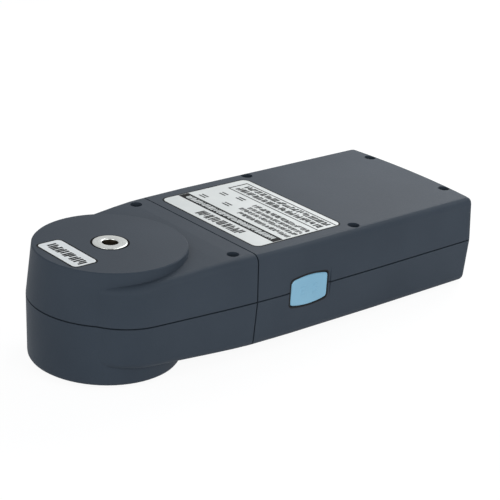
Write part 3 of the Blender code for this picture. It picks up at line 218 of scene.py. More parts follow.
# The spark texture is drawn at 0.7 mm, coarser than its real 0.1 mm, so that it shows. It
# leaves almost no gloss.
spark_grain = 0.0007
slate = moulded_plastic(
    "moulded slate ABS, spark textured",
    "#2f3740",
    "#343c45",
    spark_grain,
    matt=0.60,
    pits=0.40,
    IOR=1.50,
    Specular_IOR_Level=0.12,
)


def moulded(source, edge):
    """A smooth copy of a moulded CAD solid, with the small edge radius that its mould leaves."""
    same_point = 0.000002
    flat = math.radians(0.6)
    bm = bmesh.new()
    bm.from_mesh(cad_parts[source].data)
    bmesh.ops.remove_doubles(bm, verts=bm.verts, dist=same_point)
    bmesh.ops.dissolve_limit(bm, angle_limit=flat, verts=bm.verts, edges=bm.edges)
    made = mesh_object(source + "_moulding", bm)
    rounding = made.modifiers.new("edge", "BEVEL")
    rounding.width = edge
    rounding.segments = 2
    rounding.limit_method = "ANGLE"
    rounding.angle_limit = math.radians(40)
    rounding.use_clamp_overlap = True
    made.modifiers.new("shading", "WEIGHTED_NORMAL").keep_sharp = True
    return made


def fit(piece, materials, body, slot, *nodes):
    """Gives a piece its materials and body, and hides the CAD nodes that it stands for. Its slot is not used.
    """
    for each in materials:
        piece.data.materials.append(each)
    if nodes:
        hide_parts(*nodes)
    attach(piece, body)


def ease_joint(mesh, axis, level, middle, step):
    """Moves the outer rim of a mating face back by a step, so that its joint opens as a groove.
    Gives the rim's places before the move."""
    near = 0.00001
    rim = set()
    for face in mesh.polygons:
        met = [k for k in face.vertices if abs(mesh.vertices[k].co[axis] - level) < near]
        away = face.center - middle
        away[axis] = 0
        if len(met) < len(face.vertices) and face.normal.dot(away) > 0:
            rim.update(met)
    places = [mesh.vertices[k].co.copy() for k in rim]
    for k in rim:
        mesh.vertices[k].co[axis] += step
    return places


# Every joint between the shells opens outwards as a fine V groove.
shell_edge = 0.00012
joint_ease = 0.00015
seam_rim = []
for shell in ("head_label_shell", "head_display_shell", "body_label_shell", "body_display_shell"):
    piece = moulded(shell, shell_edge)
    low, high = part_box(shell)
    label_side = "label" in shell
    joint_z = low[2] if label_side else high[2]
    joint_x, towards = (high[0], -1) if "head" in shell else (low[0], 1)
    middle = Vector(((low[0] + high[0]) / 2, 0, joint_z))
    ease_joint(piece.data, 2, joint_z, middle, joint_ease if label_side else -joint_ease)
    rim = ease_joint(piece.data, 0, joint_x, middle, towards * joint_ease)
    if "head" in shell:
        seam_rim += [(place.y, place.z) for place in rim]
    fit(piece, [slate], "casing", "casing", shell)

# Aperture ring
# A ring turned from stainless steel and pressed into the measuring face. Light leaves and
# comes back through its bore. Its edges are rounded, and the face shows fine turning rings.

# The turning rings are drawn 0.3 mm apart, coarser than their real 0.05 mm, so that they show.
turning_step = 0.0003
steel = finish("turned stainless steel", Metallic=1.0)
steel_place = node(steel, "SeparateXYZ", {0: node(steel, "TexCoord").outputs["Object"]})
steel_reach = node(steel, "CombineXYZ", {0: steel_place.outputs["X"], 1: steel_place.outputs["Y"]})
steel_radius = node(steel, "VectorMath", {0: steel_reach.outputs[0]}, operation="LENGTH")
turning_inputs = {"W": steel_radius.outputs["Value"], "Scale": 1 / turning_step, "Detail": 1.0}
turning = node(steel, "TexNoise", turning_inputs, noise_dimensions="1D").outputs["Fac"]
steel_tone = two_tones(steel, turning, "#b0b3b1", "#babdbb")
surface(steel, steel_tone, (turning, 0.20, 0.30), (turning, 0.2, 0.00005))

# The bore is reamed and blackened, so it looks dark and brownish, with little shine.
bore = moulded_plastic(
    "reamed steel bore, blackened", "#6f685b", "#7b7466", 0.0008, 0.30, 0.05, Metallic=1.0
)


def turned(profile, segments):
    """Spins a closed outline of (radius, height) points about the upright line x = y = 0."""
    bm = bmesh.new()
    rings = []
    for r, z in profile:
        turns = [2 * math.pi * k / segments for k in range(segments if r > 0 else 1)]
        rings.append([bm.verts.new((r * math.cos(a), r * math.sin(a), z)) for a in turns])
    for this, following in zip(rings, rings[1:] + rings[:1]):
        for k in range(segments):
            j = (k + 1) % segments
            corners = [this[k % len(this)], this[j % len(this)], following[j % len(following)]]
            corners.append(following[k % len(following)])
            corners = list(dict.fromkeys(corners))
            if len(corners) > 2:
                bm.faces.new(corners)
    return bm


def rounded_edge(r, z, radius, first, last, steps=5):
    """Points on a small arc about (r, z), between two angles in degrees."""
    angles = [math.radians(first + (last - first) * k / steps) for k in range(steps + 1)]
    return [(r + radius * math.cos(a), z + radius * math.sin(a)) for a in angles]


ring_low, ring_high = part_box("aperture_ring")
ring_r = (ring_high[0] - ring_low[0]) / 2
ring_bore_r = 0.0033
ring_neck_r = 0.0048
ring_edge = 0.00045
ring_flange_t = 0.0022
ring_segments = 96
ring_under = ring_high[2] - ring_flange_t
ring_top = ring_high[2] - ring_edge
ring_outline = [(ring_bore_r, ring_low[2]), (ring_neck_r, ring_low[2])]
ring_outline += [(ring_neck_r, ring_under), (ring_r, ring_under)]
ring_outline += rounded_edge(ring_r - ring_edge, ring_top, ring_edge, 0, 90)
ring_outline += rounded_edge(ring_bore_r + ring_edge, ring_top, ring_edge, 90, 180)
ring = mesh_object("aperture_ring_turned", turned(ring_outline, ring_segments))
fit(ring, [steel, bore], "casing", "ring", "aperture_ring")
for face in ring.data.polygons:
    on_bore = face.center.xy.length < ring_bore_r + 0.00002
    if on_bore and face.center.z < ring_top:
        face.material_index = 1

# Ring shadow
# The ring sits in a counterbore of the measuring face. A thin black ring on the face round it
# is painted shade, standing in for the shadow of the fine gap round the ring.

seat_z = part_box("head_label_shell")[1][2]
shadow_ring_low, shadow_ring_high = seat_z + 0.000005, seat_z + 0.000025
shadow_ring_in, shadow_ring_out = ring_r + 0.00004, ring_r + 0.0008
shadow_ring_chamfer = 0.00004
shadow_ring_outline = [(shadow_ring_in, shadow_ring_low), (shadow_ring_out, shadow_ring_low), (shadow_ring_out - shadow_ring_chamfer, shadow_ring_high)]
shadow_ring_outline.append((shadow_ring_in, shadow_ring_high))
# Flat black that paints shade: the line round the ring and the groove between head and handle.
black_painted_shade = moulded_plastic(
    "flat black for painted shade", "#060708", "#0a0b0c", 0.0008, 0.70, 0.08, Specular_IOR_Level=0.03
)
fit(mesh_object("ring_painted_shadow", turned(shadow_ring_outline, ring_segments)), [black_painted_shade], "casing", "silicone")

# Main label
# A pale polyester film with a laminated satin face, stuck into its bed on the label side.
# Plain bars, a strip and a box stand in for its print, screen printed in black and pale ink.

# The lamination gives a soft satin sheen, and the film follows slight waves of its adhesive.
film = finish("satin laminated polyester film", IOR=1.6, Specular_IOR_Level=0.4)
film_waves = speckle(film, 0.012, 3.0)
film_tone = two_tones(film, film_waves, "#bfc3c1", "#c8cbc9")
surface(film, film_tone, (speckle(film, 0.0006, 2.0), 0.40, 0.52), (film_waves, 0.12, 0.0002))


def ink(name, first, second):
    """Screen ink: matt, and it lies slightly unevenly over 1 mm."""
    made = finish(name, IOR=1.5, Specular_IOR_Level=0.05)
    cover = speckle(made, 0.001, 2.0)
    surface(made, two_tones(made, cover, first, second), (cover, 0.52, 0.65), (cover, 0.1, 0.00002))
    return made


black_ink = ink("black screen ink", "#08090a", "#0d0f10")
pale_ink = ink("pale screen ink", "#c9cccb", "#d2d5d3")
ink_t = 0.00001
mm = 0.001
print_chance = random.Random(11)


def plate(bm, outline, low, high, material=0):
    """Adds a closed flat plate with this outline in plan, from one height to another."""
    under = [bm.verts.new((x, y, low)) for x, y in outline]
    over = [bm.verts.new((x, y, high)) for x, y in outline]
    sides = [(under[k - 1], under[k], over[k], over[k - 1]) for k in range(len(outline))]
    for corners in [under, over] + sides:
        bm.faces.new(corners).material_index = material


def bar(bm, x0, x1, y0, y1, z, material=0):
    """Adds a printed bar on a face at height z, given in millimetres in plan."""
    ends = [(x0 * mm, y0 * mm), (x1 * mm, y0 * mm), (x1 * mm, y1 * mm), (x0 * mm, y1 * mm)]
    plate(bm, ends, z, z + ink_t, material)


# How many bars stand in a group, how much shorter a bar is than its row, and the steps from
# one bar and from one group to the next, in bar widths.
group_sizes = (2, 3, 3, 4)
shortenings = (0, 0, 0.12, 0.3)
bar_steps = (1.22, 1.3, 1.45)
group_gaps = (0.3, 0.6)


def bar_row(bm, x0, x1, y0, y1, stroke, z, material=0):
    """A printed row: groups of upright bars of uneven height, in place of words."""
    y = y0
    while y < y1 - stroke:
        for each in range(print_chance.choice(group_sizes)):
            if y > y1 - stroke:
                break
            short = (x1 - x0) * print_chance.choice(shortenings)
            top = print_chance.random() < 0.5
            bar(bm, x0 + (short if top else 0), x1 - (0 if top else short), y, y + stroke, z, material)
            y += stroke * print_chance.choice(bar_steps)
        y += stroke * print_chance.choice(group_gaps)


def frame_outline(low, high, inset, radius, steps=6):
    """A rounded rectangle in plan, set in from a box."""
    points = []
    corners = (
        (high[0] - inset - radius, high[1] - inset - radius, 0),
        (low[0] + inset + radius, high[1] - inset - radius, 90),
        (low[0] + inset + radius, low[1] + inset + radius, 180),
        (high[0] - inset - radius, low[1] + inset + radius, 270),
    )
    for x, y, start in corners:
        for k in range(steps + 1):
            a = math.radians(start + 90 * k / steps)
            points.append((x + radius * math.cos(a), y + radius * math.sin(a)))
    return points


def band(bm, outer, inner, low, high, closed=True):
    """Adds a closed flat ring, or an open stretch of one, between two outlines in plan."""
    sides = ((outer, low), (inner, low), (inner, high), (outer, high))
    rings = [[bm.verts.new((x, y, z)) for x, y in outline] for outline, z in sides]
    for this, following in zip(rings, rings[1:] + rings[:1]):
        for k in range(0 if closed else 1, len(outer)):
            bm.faces.new((this[k - 1], this[k], following[k], following[k - 1]))
    if not closed:
        bm.faces.new([ring[0] for ring in rings])
        bm.faces.new([ring[-1] for ring in rings])


shadow_line_width = 0.0008
shadow_line_sink = 0.00004


def painted_shadow_line(bm, low, high, radius):
    """A black line round a film of this box and corner radius: painted shadow of the gap round the film."""
    outer = frame_outline(low, high, -shadow_line_width, radius + shadow_line_width, 8)
    inner = frame_outline(low, high, 0, radius, 8)
    band(bm, outer, inner, high[2] - shadow_line_sink, high[2] - shadow_line_sink + ink_t)


label_low, label_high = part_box("rating_label")
label_corner_r = 0.0030
label_z = label_high[2] + ink_t
strip_z = label_z + 0.00002
label_bm = bmesh.new()
# A black line round the film is painted shadow of the gap round it.
painted_shadow_line(label_bm, label_low, label_high, label_corner_r)

# Each row: its ends in x and in y, and the width of a bar, in millimetres.
bar_row(label_bm, 52.4, 57.6, -16.5, 12.0, 0.95, label_z)
bar(label_bm, 59.5, 64.9, -31.3, 31.3, label_z)
bar_row(label_bm, 60.7, 63.7, -28.5, 28.5, 0.48, strip_z, material=1)
small_rows = (
    (67.6, 70.2, -30.4, 2.0, 0.62),
    (71.6, 74.1, -30.4, 6.0, 0.62),
    (75.0, 77.4, -30.4, 4.0, 0.66),
    (78.5, 81.3, -30.4, 5.0, 0.72),
)
boxed_rows = ((85.9, 89.3, -29.5, 24.5, 0.95), (90.3, 93.7, -29.5, 24.5, 0.95))
for row in small_rows + boxed_rows:
    bar_row(label_bm, *row, label_z)
for x, y, wide in ((68.6, 25.0, 4.4), (71.0, 12.0, 4.6), (77.7, 22.3, 4.0), (80.2, 13.7, 4.6)):
    bar(label_bm, x - 1.3, x - 0.5, y - wide / 2, y + wide / 2, label_z)
    bar(label_bm, x + 0.4, x + 1.2, y - wide / 2, y + wide / 2, label_z)
for x in (84.3, 94.8):
    bar(label_bm, x - 0.3, x + 0.3, -31.3, 27.0, label_z)
bar(label_bm, 84.0, 95.1, 26.5, 27.2, label_z)
fit(mesh_object("rating_label_print", label_bm), [black_ink, pale_ink], "casing", "label")

# Serial label
# A small white film on the measuring face, between the ring and the nose. One row of plain
# bars stands in for its print, and a black line round its edge is painted shadow of the gap round it.

serial_low, serial_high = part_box("serial_label")
serial_corner_r = 0.0020
serial_bm = bmesh.new()
painted_shadow_line(serial_bm, serial_low, serial_high, serial_corner_r)
bar_row(serial_bm, -23.7, -18.9, -12.0, 11.6, 1.10, serial_high[2] + ink_t)
fit(mesh_object("serial_label_print", serial_bm), [black_ink], "casing", "label")

# The bare film is whiter than the laminated one, and a little glossier.
white_film = finish("white polyester film", IOR=1.6, Specular_IOR_Level=0.4)
white_waves = speckle(white_film, 0.004, 3.0)
white_tone = two_tones(white_film, white_waves, "#cfd3d3", "#d7dada")
surface(white_film, white_tone, (white_waves, 0.40, 0.50), (white_waves, 0.1, 0.0001))


def dress(material, *names):
    """Gives CAD nodes that keep their shape their material."""
    for name in names:
        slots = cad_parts[name].data.materials
        slots.clear()
        slots.append(material)


dress(film, "rating_label")
dress(white_film, "serial_label")

# Measure button
# A light blue ABS cap in a shallow pocket across the parting line, moulded with a crowned
# outline and a bright rounded edge. Two sets of three low plain bars are raised on its face.

blue = moulded_plastic(
    "moulded light blue ABS, satin", "#70a0b9", "#79a8bf", 0.0006, 0.42, 0.06, IOR=1.53
)
# The cap's sides are black: painted shade for the shadow in the gap round the cap.
painted_shade_sides = moulded_plastic("black for painted shade on the button's sides", "#14171a", "#1a1d21", 0.0006, 0.50, 0.06, IOR=1.53)
button_edge = 0.00034
shaded_side_turn = -0.7
button = moulded("measure_button", button_edge)
button.modifiers["edge"].material = 0
fit(button, [blue, painted_shade_sides], "measure_button_body", "button", "measure_button")
# Faces that do not face out get the black of the painted shade.
for face in button.data.polygons:
    if face.normal.y > shaded_side_turn:
        face.material_index = 1


def ray_target(*names):
    """The surfaces of CAD nodes, ready for rays to be cast on them."""
    bm = bmesh.new()
    for name in names:
        bm.from_mesh(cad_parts[name].data)
    target = BVHTree.FromBMesh(bm)
    bm.free()
    return target


ray_start_y = -0.06


def touch(target, x, z):
    """The y at which a ray from outside the button's side meets a target."""
    return target.ray_cast(Vector((x, ray_start_y, z)), Vector((0, 1, 0)))[0].y


button_low, button_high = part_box("measure_button")
button_x = (button_low[0] + button_high[0]) / 2
button_z = (button_low[2] + button_high[2]) / 2
button_face = ray_target("measure_button")
mark_sink = 0.00005
mark_rise = 0.00008
mark_l, mark_h = 0.0027, 0.0007
mark_points = 16
mark_gap_x, mark_gap_z = 0.0034, 0.0017


def raised_mark(bm, x, z):
    """A low raised bar with rounded ends on the button's face."""
    outline = []
    for k in range(mark_points):
        a = 2 * math.pi * k / mark_points
        end = (mark_l - mark_h) / 2 * (1 if math.cos(a) > 0 else -1)
        outline.append((x + end + mark_h / 2 * math.cos(a), z + mark_h / 2 * math.sin(a)))
    rings = []
    for rise in (-mark_sink, mark_rise):
        rings.append([bm.verts.new((px, touch(button_face, px, pz) - rise, pz)) for px, pz in outline])
    for corners in rings:
        bm.faces.new(corners)
    for k in range(mark_points):
        bm.faces.new((rings[0][k - 1], rings[0][k], rings[1][k], rings[1][k - 1]))


marks_bm = bmesh.new()
for side in (-1, 1):
    for level in (-1, 0, 1):
        raised_mark(marks_bm, button_x + side * mark_gap_x, button_z + level * mark_gap_z)
fit(mesh_object("measure_button_marks", marks_bm), [blue], "measure_button_body", "button")

# Button pocket shade
# A thin black lip in the pocket, round the button: painted shade for the shadow in the pocket. It
# closes the gap to the cap without touching it, so that the cap slides freely.

flange = 0.0010
crown = 0.0010
cap_half_l = (button_high[0] - button_low[0]) / 2 - flange
cap_half_h = (button_high[2] - button_low[2]) / 2 - flange - crown
cap_corner = 0.0012


def cap_outline(grow, steps=10, corner_steps=6):
    """The cap's bowed outline in x and z, grown outwards."""
    quarter = []
    for k in range(steps):
        x = (cap_half_l - cap_corner) * k / steps
        quarter.append((x, cap_half_h + grow + crown * (1 - (x / cap_half_l) ** 2)))
    r = cap_corner + grow
    lift = crown * (1 - ((cap_half_l - cap_corner) / cap_half_l) ** 2)
    for k in range(corner_steps + 1):
        a = math.radians(90 - 90 * k / corner_steps)
        foot = cap_half_h - cap_corner + lift * (1 - k / corner_steps)
        quarter.append((cap_half_l - cap_corner + r * math.cos(a), foot + r * math.sin(a)))
    half = quarter + [(x, -z) for x, z in quarter[::-1]]
    return half + [(-x, z) for x, z in half[::-1]]


shade_lip_reach = 0.00085
cap_gap = 0.00014
shade_lip_rise = 0.00006
shade_lip_depth = 0.00030
shade_lip_merge = 0.000001
pocket = ray_target("body_label_shell", "body_display_shell")
shade_lip_bm = bmesh.new()
shade_lip_rings = [[] for _ in range(4)]
for (ox, oz), (ix, iz) in zip(cap_outline(shade_lip_reach), cap_outline(cap_gap)):
    floor = touch(pocket, button_x + ox, button_z + oz)
    lip = ((ox, oz, 0), (ox, oz, -shade_lip_rise), (ix, iz, -shade_lip_rise), (ix, iz, shade_lip_depth))
    for ring, (x, z, y) in zip(shade_lip_rings, lip):
        ring.append(shade_lip_bm.verts.new((button_x + x, floor + y, button_z + z)))
for this, following in zip(shade_lip_rings, shade_lip_rings[1:] + shade_lip_rings[:1]):
    for k in range(len(this)):
        if (this[k].co - this[k - 1].co).length > shade_lip_merge:
            shade_lip_bm.faces.new((this[k - 1], this[k], following[k], following[k - 1]))
bmesh.ops.remove_doubles(shade_lip_bm, verts=shade_lip_bm.verts, dist=shade_lip_merge)
# Black that paints the shade in the pocket round the button.
black_shade_lip = moulded_plastic(
    "black lip for painted shade", "#0c0d0f", "#121315", 0.0008, 0.66, 0.10, Specular_IOR_Level=0.2
)
fit(mesh_object("button_pocket_shade", shade_lip_bm), [black_shade_lip], "casing", "silicone")

# Joint groove shade
# A thin black sheet between the walls of the head and the handle, 0.9 mm below the surface. It
# stops light in the groove and is painted shade, darkening the joint between the shells.

groove_shade_outline = [Vector(seam_rim[k]) for k in geometry.convex_hull_2d(seam_rim)]
groove_shade_middle = sum(groove_shade_outline, Vector((0, 0))) / len(groove_shade_outline)
groove_shade_insets = (0.0009, 0.0018)
groove_shade_loops = []
for inset in groove_shade_insets:
    inward = [(groove_shade_middle - place).normalized() * inset for place in groove_shade_outline]
    groove_shade_loops.append([place + step for place, step in zip(groove_shade_outline, inward)])
groove_shade_from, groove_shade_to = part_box("head_label_shell")[1][0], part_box("body_label_shell")[0][0]
groove_shade_bm = bmesh.new()
band(groove_shade_bm, groove_shade_loops[0], groove_shade_loops[1], groove_shade_from, groove_shade_to)
for vertex in groove_shade_bm.verts:
    vertex.co = (vertex.co.z, vertex.co.x, vertex.co.y)
fit(mesh_object("joint_groove_shade", groove_shade_bm), [black_painted_shade], "casing", "silicone")

# Casing screws
# Six pan-head screws of zinc-plated steel at the foot of deep wells in the label side. They
# hold the shells together. Cold forged, with a cross recess and a rolled thread.

# The plating's crystals are drawn at 0.4 mm, coarser than their real 0.05 mm, so that they show.
crystal_size = 0.0004
zinc = finish("zinc plated steel, cold forged", Metallic=1.0)
zinc_place = node(zinc, "TexCoord").outputs["Object"]
zinc_crystal = node(zinc, "TexVoronoi", {"Vector": zinc_place, "Scale": 1 / crystal_size}).outputs["Color"]
zinc_value = node(zinc, "SeparateColor", {0: zinc_crystal}).outputs[0]
zinc_tone = two_tones(zinc, zinc_value, "#8d9095", "#a0a3a8")
surface(zinc, zinc_tone, (zinc_value, 0.28, 0.44), (zinc_value, 0.06, 0.00004))


def screw_mesh(name, head_r, head_h, shank_r, length, pitch):
    """A pan-head screw, tip down with its head's underside at height 0: cross recess and thread."""
    core_r = shank_r * 0.76
    outline = [(0, -length), (core_r * 0.4, -length), (core_r, -length + shank_r)]
    z = -length + shank_r
    while z < -pitch * 1.5:
        outline += [(core_r, z + pitch * 0.15), (shank_r, z + pitch * 0.45), (shank_r, z + pitch * 0.55)]
        outline += [(core_r, z + pitch * 0.85)]
        z += pitch
    outline += [(core_r, 0), (head_r * 0.96, 0), (head_r, head_h * 0.12), (head_r, head_h * 0.45)]
    for k in range(1, 6):
        a = math.radians(90 * k / 5)
        outline.append((head_r * (0.62 + 0.38 * math.cos(a)), head_h * (0.45 + 0.55 * math.sin(a))))
    outline.append((0, head_h))
    body = mesh_object(name, turned(outline, 28))
    arm = head_r * 0.62
    half = head_r * 0.13
    taper = 0.45
    ends = [(arm, -half), (arm, half), (half, half), (half, arm), (-half, arm), (-half, half)]
    ends += [(-arm, half), (-arm, -half), (-half, -half), (-half, -arm), (half, -arm), (half, -half)]
    cross_bm = bmesh.new()
    top = [cross_bm.verts.new((x, y, head_h * 1.5)) for x, y in ends]
    foot = []
    for x, y in ends:
        narrow = (x * taper, y) if abs(x) > abs(y) else (x, y * taper)
        foot.append(cross_bm.verts.new((*narrow, head_h * 0.25)))
    cross_bm.faces.new(top)
    cross_bm.faces.new(foot)
    for k in range(len(ends)):
        cross_bm.faces.new((foot[k - 1], foot[k], top[k], top[k - 1]))
    cross = mesh_object(name + "_recess", cross_bm)
    cut = body.modifiers.new("recess", "BOOLEAN")
    cut.operation = "DIFFERENCE"
    cut.object = cross
    cut.solver = "EXACT"
    ready = bpy.data.meshes.new_from_object(body.evaluated_get(bpy.context.evaluated_depsgraph_get()))
    bpy.data.objects.remove(cross)
    bpy.data.objects.remove(body)
    ready.name = name
    ready.set_sharp_from_angle(angle=math.radians(30))
    return ready


def fit_screws(names, mesh, head_h, turn=0.4):
    """Puts one screw mesh in the place of each named CAD screw, head towards the label side."""
    for k, name in enumerate(names):
        low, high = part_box(name)
        screw = bpy.data.objects.new(name + "_forged", mesh.copy())
        bpy.context.scene.collection.objects.link(screw)
        place = Matrix.Translation(((low[0] + high[0]) / 2, (low[1] + high[1]) / 2, high[2] - head_h))
        screw.data.transform(place @ Matrix.Rotation(turn + 0.7 * k, 4, "Z"))
        fit(screw, [zinc], "casing", "screw", name)


casing_head_h = 0.0016
casing_screw = screw_mesh(
    "casing_screw", head_r=0.0022, head_h=casing_head_h, shank_r=0.0011, length=0.0100, pitch=0.0008
)
casing_screws = ["head_screw_1", "head_screw_2"] + [f"body_screw_{k}" for k in (1, 2, 3, 4)]
fit_screws(casing_screws, casing_screw, casing_head_h)

# Display window and display
# A smoked acrylic window with a hard-coated face, bonded into a recess of the display side.
# Behind it sits a liquid crystal panel with a grey-green reflector and a black bezel, switched off.

# The hard coat gives a clean gloss over the smoke tint.
smoke = finish("hard-coated smoked acrylic", Alpha=0.25, IOR=1.49, Coat_Weight=0.2)
smoke_waves = speckle(smoke, 0.010, 1.0)
smoke_tone = two_tones(smoke, smoke_waves, "#1b1f22", "#212528")
surface(smoke, smoke_tone, (smoke_waves, 0.03, 0.07), (smoke_waves, 0.04, 0.0002))
dress(smoke, "display_window")

# The polarising film is smooth over a finely grained reflector, so the panel looks flat and pale.
panel = finish("polarising film over a grey-green reflector", IOR=1.5, Coat_Weight=0.4)
panel_dots = speckle(panel, 0.0008, 2.0)
panel_tone = two_tones(panel, panel_dots, "#8d9881", "#97a28a")
surface(panel, panel_tone, (panel_dots, 0.22, 0.32), (panel_dots, 0.05, 0.00005))
black_plastic = moulded_plastic(
    "moulded black polycarbonate", "#17181a", "#1e1f21", 0.0008, 0.45, 0.08, IOR=1.58
)


def stacked(outlines):
    """A closed solid through outlines at rising heights, each a list of plan points and a height."""
    bm = bmesh.new()
    rings = [[bm.verts.new((x, y, z)) for x, y in points] for points, z in outlines]
    for low, high in zip(rings, rings[1:]):
        for k in range(len(low)):
            bm.faces.new((low[k - 1], low[k], high[k], high[k - 1]))
    bm.faces.new(rings[0])
    bm.faces.new(rings[-1])
    return bm


lcd_low, lcd_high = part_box("lcd_module")
bezel = 0.0042
# Each layer: its inset, its corner radius and its height.
lcd_layers = (
    (bezel, 0.0008, lcd_low[2] + 0.0006),
    (bezel - 0.0006, 0.0012, lcd_low[2]),
    (0.0003, 0.0015, lcd_low[2]),
    (0, 0.0016, lcd_low[2] + 0.0003),
    (0, 0.0016, lcd_high[2] - 0.0003),
    (0.0003, 0.0015, lcd_high[2]),
)
lcd_bm = stacked([(frame_outline(lcd_low, lcd_high, inset, r), z) for inset, r, z in lcd_layers])
lcd = mesh_object("lcd_module_framed", lcd_bm)
fit(lcd, [black_plastic, panel], "casing", "display", "lcd_module")
lcd_mid = (lcd_low[0] + lcd_high[0]) / 2
view_depth = 0.001
view_least_area = 0.0005
for face in lcd.data.polygons:
    in_middle = abs(face.center.x - lcd_mid) < view_depth
    in_front = face.center.z < lcd_low[2] + view_depth and face.normal.z < -0.9
    if in_middle and in_front and face.area > view_least_area:
        face.material_index = 1

# Display mask
# A black frame screen printed on the back of the window. It hides the panel's bezel and leaves
# only the view area clear.

window_low, window_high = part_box("display_window")
mask_gap, mask_width = 0.00005, 0.0052
mask_corner_r, view_corner_r = 0.0030, 0.0010
mask_low, mask_high = window_high[2] - 0.00006, window_high[2] - 0.00003
mask_outer = frame_outline(window_low, window_high, mask_gap, mask_corner_r)
mask_inner = frame_outline(window_low, window_high, mask_width, view_corner_r)
mask_bm = bmesh.new()
band(mask_bm, mask_outer, mask_inner, mask_low, mask_high)
fit(mesh_object("display_mask", mask_bm), [black_ink], "casing", "window")

# Keys
# Five round keys of grey ABS beside the window, with dished faces and a plain printed mark
# each: two arrows, a ring, three lines and a dial stroke. A rubber mat under them springs back.

key_grey = moulded_plastic("moulded grey ABS, satin", "#646b70", "#6c7378", 0.0006, 0.45, 0.06, IOR=1.53)
key_ink = ink("white key ink", "#eceeee", "#f3f4f4")
keys = ("key_up", "key_down", "key_enter", "key_menu", "key_power")
key_edge = 0.00025
for name in keys:
    fit(moulded(name, key_edge), [key_grey], name + "_body", "key", name)
key_ink_half_t = 0.00002
key_mark_r = 0.0024
line_half_w = 0.00025
stroke_half_w = 0.00028


def ring_mark(bm, x, y, outer, inner, low, high, gap=0):
    """A flat printed ring, with an optional opening in degrees at its far side."""
    steps = 28
    start = math.radians(gap / 2)
    span = 2 * math.pi - 2 * start
    turns = [start + span * k / steps for k in range(steps if gap == 0 else steps + 1)]
    outlines = [[(x + r * math.cos(t), y + r * math.sin(t)) for t in turns] for r in (outer, inner)]
    band(bm, outlines[0], outlines[1], low, high, closed=gap == 0)


def box_mark(bm, x0, x1, y0, y1, low, high):
    """A flat printed rectangle."""
    plate(bm, [(x0, y0), (x1, y0), (x1, y1), (x0, y1)], low, high)


for name in keys:
    key_low, key_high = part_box(name)
    x, y = (key_low[0] + key_high[0]) / 2, (key_low[1] + key_high[1]) / 2
    low, high = key_low[2] - key_ink_half_t, key_low[2] + key_ink_half_t
    mark_bm = bmesh.new()
    r = key_mark_r
    if name in ("key_up", "key_down"):
        way = r if name == "key_up" else -r
        arrow = [(x - r * 0.8, y - way * 0.7), (x + r * 0.8, y - way * 0.7), (x, y + way)]
        plate(mark_bm, arrow, low, high)
    elif name == "key_enter":
        ring_mark(mark_bm, x, y, r, r * 0.72, low, high)
    elif name == "key_menu":
        for k in (-1, 0, 1):
            line_x = x + k * r * 0.7
            box_mark(mark_bm, line_x - line_half_w, line_x + line_half_w, y - r * 0.8, y + r * 0.8, low, high)
    else:
        ring_mark(mark_bm, x, y, r * 0.9, r * 0.66, low, high, gap=60)
        box_mark(mark_bm, x + r * 0.2, x + r * 1.1, y - stroke_half_w, y + stroke_half_w, low, high)
    fit(mesh_object(name + "_mark", mark_bm), [key_ink], name + "_body", "key")

rubber = moulded_plastic("moulded silicone rubber", "#3a3f42", "#42474a", 0.0010, 0.62, 0.10, IOR=1.41)
dress(rubber, "keypad_mat")

# USB socket
# A shell stamped and folded from nickel-plated steel, round a black moulded tongue. It is
# soldered to the main board's tab and faces out through the end wall.

nickel = finish("nickel plated steel, stamped", Metallic=1.0)
nickel_draw = speckle(nickel, 0.0005, 2.0)
nickel_tone = two_tones(nickel, nickel_draw, "#c4c2bb", "#cfcdc6")
surface(nickel, nickel_tone, (nickel_draw, 0.20, 0.32), (nickel_draw, 0.08, 0.00003))
socket_edge = 0.00012
socket_wall = 0.0007
tongue_half_t = 0.0006
socket = moulded("usb_socket", socket_edge)
socket_low, socket_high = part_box("usb_socket")
socket_mid = (socket_low[2] + socket_high[2]) / 2
fit(socket, [nickel, black_plastic], "casing", "ring", "usb_socket")
for face in socket.data.polygons:
    near_mid = abs(face.center.z - socket_mid) < tongue_half_t
    inside = abs(face.center.y) < socket_high[1] - socket_wall
    if near_mid and inside and face.center.x > socket_low[0] + 0.001:
        face.material_index = 1

# Boards
# Glass-epoxy boards with green solder mask, routed to shape. Copper tracks under the mask
# show as paler lines. They carry the display and keys, the measure switch, sensor and lamps.

# Tracks are drawn 1.3 mm apart, coarser than their real 0.5 mm, so that they show.
green = finish("green solder mask over glass epoxy", IOR=1.5, Coat_Weight=0.2, Coat_Roughness=0.2)
tracks = node(
    green,
    "TexBrick",
    {
        "Vector": node(green, "TexCoord").outputs["Object"],
        "Color1": linear("#1d4a2e"),
        "Color2": linear("#20512f"),
        "Mortar": linear("#3f7a48"),
        "Scale": 1.0,
        "Mortar Size": 0.00022,
        "Brick Width": 0.0075,
        "Row Height": 0.0013,
    },
).outputs
surface(green, tracks["Color"], (speckle(green, 0.001, 2.0), 0.30, 0.42), (tracks["Fac"], 0.3, 0.00003))
dress(green, "main_board", "switch_board", "sensor_board", "led_board")
small_head_h = 0.0012
board_screw = screw_mesh(
    "board_screw", head_r=0.0019, head_h=small_head_h, shank_r=0.0010, length=0.0055, pitch=0.0006
)
fit_screws([f"board_screw_{k}" for k in (1, 2, 3, 4)], board_screw, small_head_h, turn=0.9)

# Electronics
# A processor in black epoxy, a buzzer in a black plastic can, a tact switch and the colour
# sensor's chip, all soldered to their boards.

epoxy = moulded_plastic("moulded black epoxy", "#1b1c1e", "#232427", 0.0005, 0.55, 0.12, IOR=1.55)
dress(epoxy, "processor", "sensor_chip")
dress(black_plastic, "buzzer", "tact_switch")

# Battery
# A flat lithium cell in blue shrink film, held to the label side by white foam tape. Its lead
# of tinned wire ends in a cream nylon plug on the main board.


